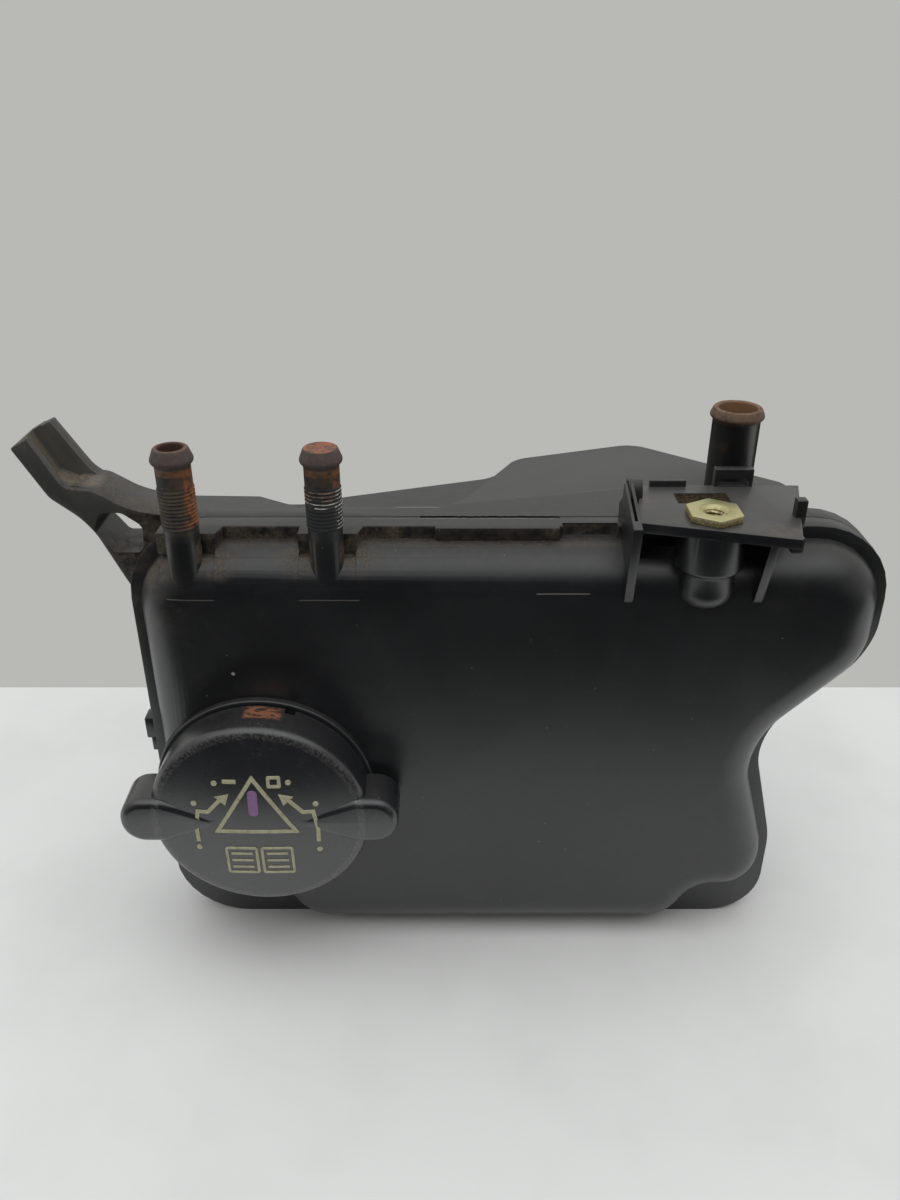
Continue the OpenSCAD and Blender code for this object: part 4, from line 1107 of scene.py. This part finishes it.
# %% Cap cover joined
cap_body = combine("cap_body", on_cap(cap_profile, 128), [
    (ADD, wing_plate()),
    (CUT, on_cap([(0, SKIRT_REAR - 1), (SKIRT_IN, SKIRT_REAR - 1), (SKIRT_IN, CAP_INNER - 1)]
                 + arc(SKIRT_IN - 1, CAP_INNER - 1, 1, 0, 90, 3) + [(0, CAP_INNER)])),
    (CUT, box((CAP_X + 7.9, -SKIRT_REAR - 2.4, CAP_Z + 25),
              (CAP_X + 10.6, -SKIRT_REAR + 1, CAP_Z + 33), 0.2)),
    *((ADD, sector(25.3, SKIRT_IN + 0.5, 14.6, 17.6, centre, 50)) for centre in (90, 270)),
    (ADD, on_cap([(8.2, 21.1), (11.98, 21.1), (11.98, CAP_INNER + 0.2), (9.98, CAP_INNER + 0.2),
                  (9.98, 22.3), (8.2, 22.3), (8.2, 21.1)]))])
piece("cap_shell", cap_body, "cap", cap_material, ["cap_cover"])

# %% [markdown]
# ## Stamped marks on the cap
#
# The face carries raised, paint-filled marks: a plain triangle with an oval, two stepped
# arrows that show the quarter turn, dots, and a ruled panel. Each stroke is an outline of
# even width pulled into a block, and what a thin dome over the face shares with that block
# is the mark, so that it stands a hair above the face and bends with it.


# %% Strokes, dots and frames
def stroke(points, width):
    """Outline of a bent line of even width, as sharp corners."""
    path = [Vector(p) for p in points]
    left, right = [], []
    for i, p in enumerate(path):
        before = (p - path[i - 1]).normalized() if i else None
        after = (path[i + 1] - p).normalized() if i + 1 < len(path) else None
        a, b = before or after, after or before
        normal = Vector((-a.y - b.y, a.x + b.x)).normalized()
        reach = width / 2 / max(0.4, normal.dot(Vector((-a.y, a.x))))
        left.append(p + normal * reach)
        right.append(p - normal * reach)
    return [(p.x, p.y, 0) for p in right + left[::-1]]


def mark_block(corners, low=1.5, high=-4):
    """A block through the cap's face, from an outline round the cap's centre."""
    placed = [(CAP_X + x, CAP_Z + z, r) for x, z, r in corners]
    return prism(placed, -RIM + low, -RIM + high, steps=4)


def hollowed(name, corners, width):
    """A block less the same outline moved in; the cutter is deeper than the block."""
    inner = mark_block(inset_corners(corners, width), 2.5, -5)
    return combine(name, mark_block(corners), [(CUT, inner)])


def round_dot(x, z, r):
    return mark_block([(x + a * r, z + b * r, r * 0.99)
                       for a, b in ((-1, -1), (1, -1), (1, 1), (-1, 1))])


def ruled_frame(x0, z0, x1, z1, radius, width):
    return hollowed("frame", [(x0, z0, radius), (x1, z0, radius), (x1, z1, radius),
                              (x0, z1, radius)], width)


def face_skin():
    """A thin dome over the face, which trims the marks to its curve."""
    steps = 12
    above = [(22.5 * k / steps, dome_height(22.5 * k / steps) + 0.22) for k in range(steps + 1)]
    below = [(r, h - 0.5) for r, h in above]
    return on_cap(below + above[::-1])


print("stroke helpers ready")

# %% Marks
TRIANGLE = [(-12.5, -3.1, 0.3), (11.3, -3.1, 0.3), (-0.6, 16.7, 0.3)]
ARROW = [(16.3, -6.6), (16.4, -1.6), (15.4, 4.2), (12.6, 4.1), (8.9, 8.3)]
HEAD = [(10.2, 9.4, 0), (6.3, 10.3, 0), (7.5, 6.6, 0)]
far_arrow = [(-x - 1.0, z) for x, z in ARROW[::-1]]
far_head = [(-x - 1.0, z, r) for x, z, r in HEAD[::-1]]
strokes = [hollowed("triangle", TRIANGLE, 1.1),
           combine("arrow", mark_block(stroke(ARROW, 1.1)), [(ADD, mark_block(HEAD))]),
           combine("arrow", mark_block(stroke(far_arrow, 1.1)), [(ADD, mark_block(far_head))]),
           mark_block(stroke([(-8.6, 14.5), (-4.9, 14.5)], 1.2)),
           ruled_frame(3.4, 12.5, 7.2, 16.3, 0.5, 0.9)]
strokes += [round_dot(x, z, 0.8) for x, z in ((-10.9, 13.9), (9.2, 14.2), (-17.2, 6.9),
                                              (16.2, 6.8), (16.4, -9.6), (-17.4, -8.8))]
for x0, x1 in ((-10.2, -1.0), (-0.2, 9.0)):
    strokes.append(ruled_frame(x0, -18.6, x1, -8.4, 0.9, 0.75))
    strokes += [mark_block(stroke([(x0 + 1.6, z), (x1 - 1.6, z)], 0.65))
                for z in (-10.9, -13.5, -16.1)]
marks = joined([combine("mark", face_skin(), [(KEEP, block)]) for block in strokes])
piece("cap_marks", marks, "cap", cream_paint)
OVAL = [(-2.2, 3.0, 1.2), (0.4, 3.0, 1.2), (0.5, 11.6, 1.3), (-2.2, 11.6, 1.3)]
oval = combine("oval", face_skin(), [(KEEP, mark_block(OVAL))])
piece("cap_oval", oval, "cap", lilac_paint)

# %% [markdown]
# ## Inner pieces of the cap
#
# The valve body, its rings, valves and springs show only when the cap is off. Their packed
# meshes are right as they are, so they only get their finishes.

# %% Finishes of the inner pieces
for node_name, material in {"cap_core": cap_material, "valve_seat": cap_material,
                            "front_seal_ring": rubber, "rear_seal_ring": rubber,
                            "pressure_seal": rubber, "pressure_valve": bright_steel,
                            "vacuum_valve": bright_steel, "vacuum_clip": spring_wire,
                            "pressure_spring": spring_wire,
                            "vacuum_spring": spring_wire}.items():
    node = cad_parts[node_name]
    if not node.material_slots:
        node.data.materials.append(material)
    for slot in node.material_slots:
        slot.material = material
print("inner pieces finished")

# %% [markdown]
# ## A plain table and room
#
# The tank stands on a pale table in a plain room: the wall behind and the ceiling are pale,
# and the room in front is dim, which is what the upright faces mirror. Black gloss shows
# only what it mirrors, so the room is drawn by direction. The camera, and gloss that looks
# toward the wall, see the wall's own tone.

# %% Table
TABLE_FRONT, TABLE_BACK = -118.0, 132.0
table = box((-1500, TABLE_FRONT, -8), (1500, TABLE_BACK, 0), 0)
bmesh.ops.scale(table, vec=(MM, MM, MM), verts=table.verts[:])
floor = body("table", table)
f = Finish("table_top")
colour = f.layer(rgb(224, 224, 221), f.rise(f.noise(60, 4), 0.4, 0.7), rgb(218, 218, 215))
table_material = f.done(colour, 0.42 + 0.1 * f.noise(30, 3), 0.02 * f.noise(0.8, 3))
floor.data.materials.append(table_material)

# %% Room
WALL_TONE, DIM_TONE = (0.485, 0.485, 0.465, 1), (0.03, 0.03, 0.032, 1)
SKY_TONE, BRIGHT_TONE = (0.80, 0.82, 0.86, 1), (0.98, 0.99, 1.0, 1)
scene.world = bpy.data.worlds.new("room")
scene.world.use_nodes = True
room = Tree(scene.world.node_tree)
ray = room.node("ShaderNodeLightPath").outputs
across, back, up = room.axes(room.node("ShaderNodeTexCoord").outputs["Generated"])
upright = room.rise(up, -0.25, 0.05)
behind = room.rise(back, -0.35, 0.35) * upright
aside = room.rise(room.math("ABSOLUTE", across), 0.3, 1.3) * upright
walls = room.layer(DIM_TONE, room.math("MAXIMUM", behind, aside), WALL_TONE)
ceiling = room.layer(SKY_TONE, room.rise(back, 0.5, -0.4), BRIGHT_TONE)
mirrored_wall = behind * room.math("MAXIMUM", ray["Is Glossy Ray"], ray["Is Transmission Ray"])
seen = room.math("MAXIMUM", ray["Is Camera Ray"], mirrored_wall)
background = room.nodes["Background"].inputs
room.feed(background["Color"], room.coats(walls, (room.rise(up, 0.32, 0.84), ceiling),
                                          (seen, WALL_TONE)))
background["Strength"].default_value = 1.0
print("room made of", len(room.nodes), "nodes")

# %% [markdown]
# ## The lamp
#
# One large soft lamp overhead gives the tank its shadow on the table. The gloss doesn't
# show the lamp itself, because its rear edge would be mirrored as a line along the rim.

# %% Ceiling lamp
LAMP_PLACE, LAMP_TARGET, LAMP_WATTS = Vector((0.05, -0.3, 1.4)), Vector((0, 0, 0.1)), 10.5
light = bpy.data.lights.new("ceiling", "AREA")
light.shape, light.size, light.size_y = "RECTANGLE", 1.8, 1.3
light.energy, light.color = LAMP_WATTS, (0.96, 0.98, 1.0)
lamp = bpy.data.objects.new("ceiling", light)
lamp.location = LAMP_PLACE
lamp.rotation_euler = (LAMP_TARGET - LAMP_PLACE).to_track_quat("-Z", "Y").to_euler()
lamp.visible_glossy = False
scene.collection.objects.link(lamp)
scene.view_settings.view_transform = "Standard"
print("lamp of", LAMP_WATTS, "watts")
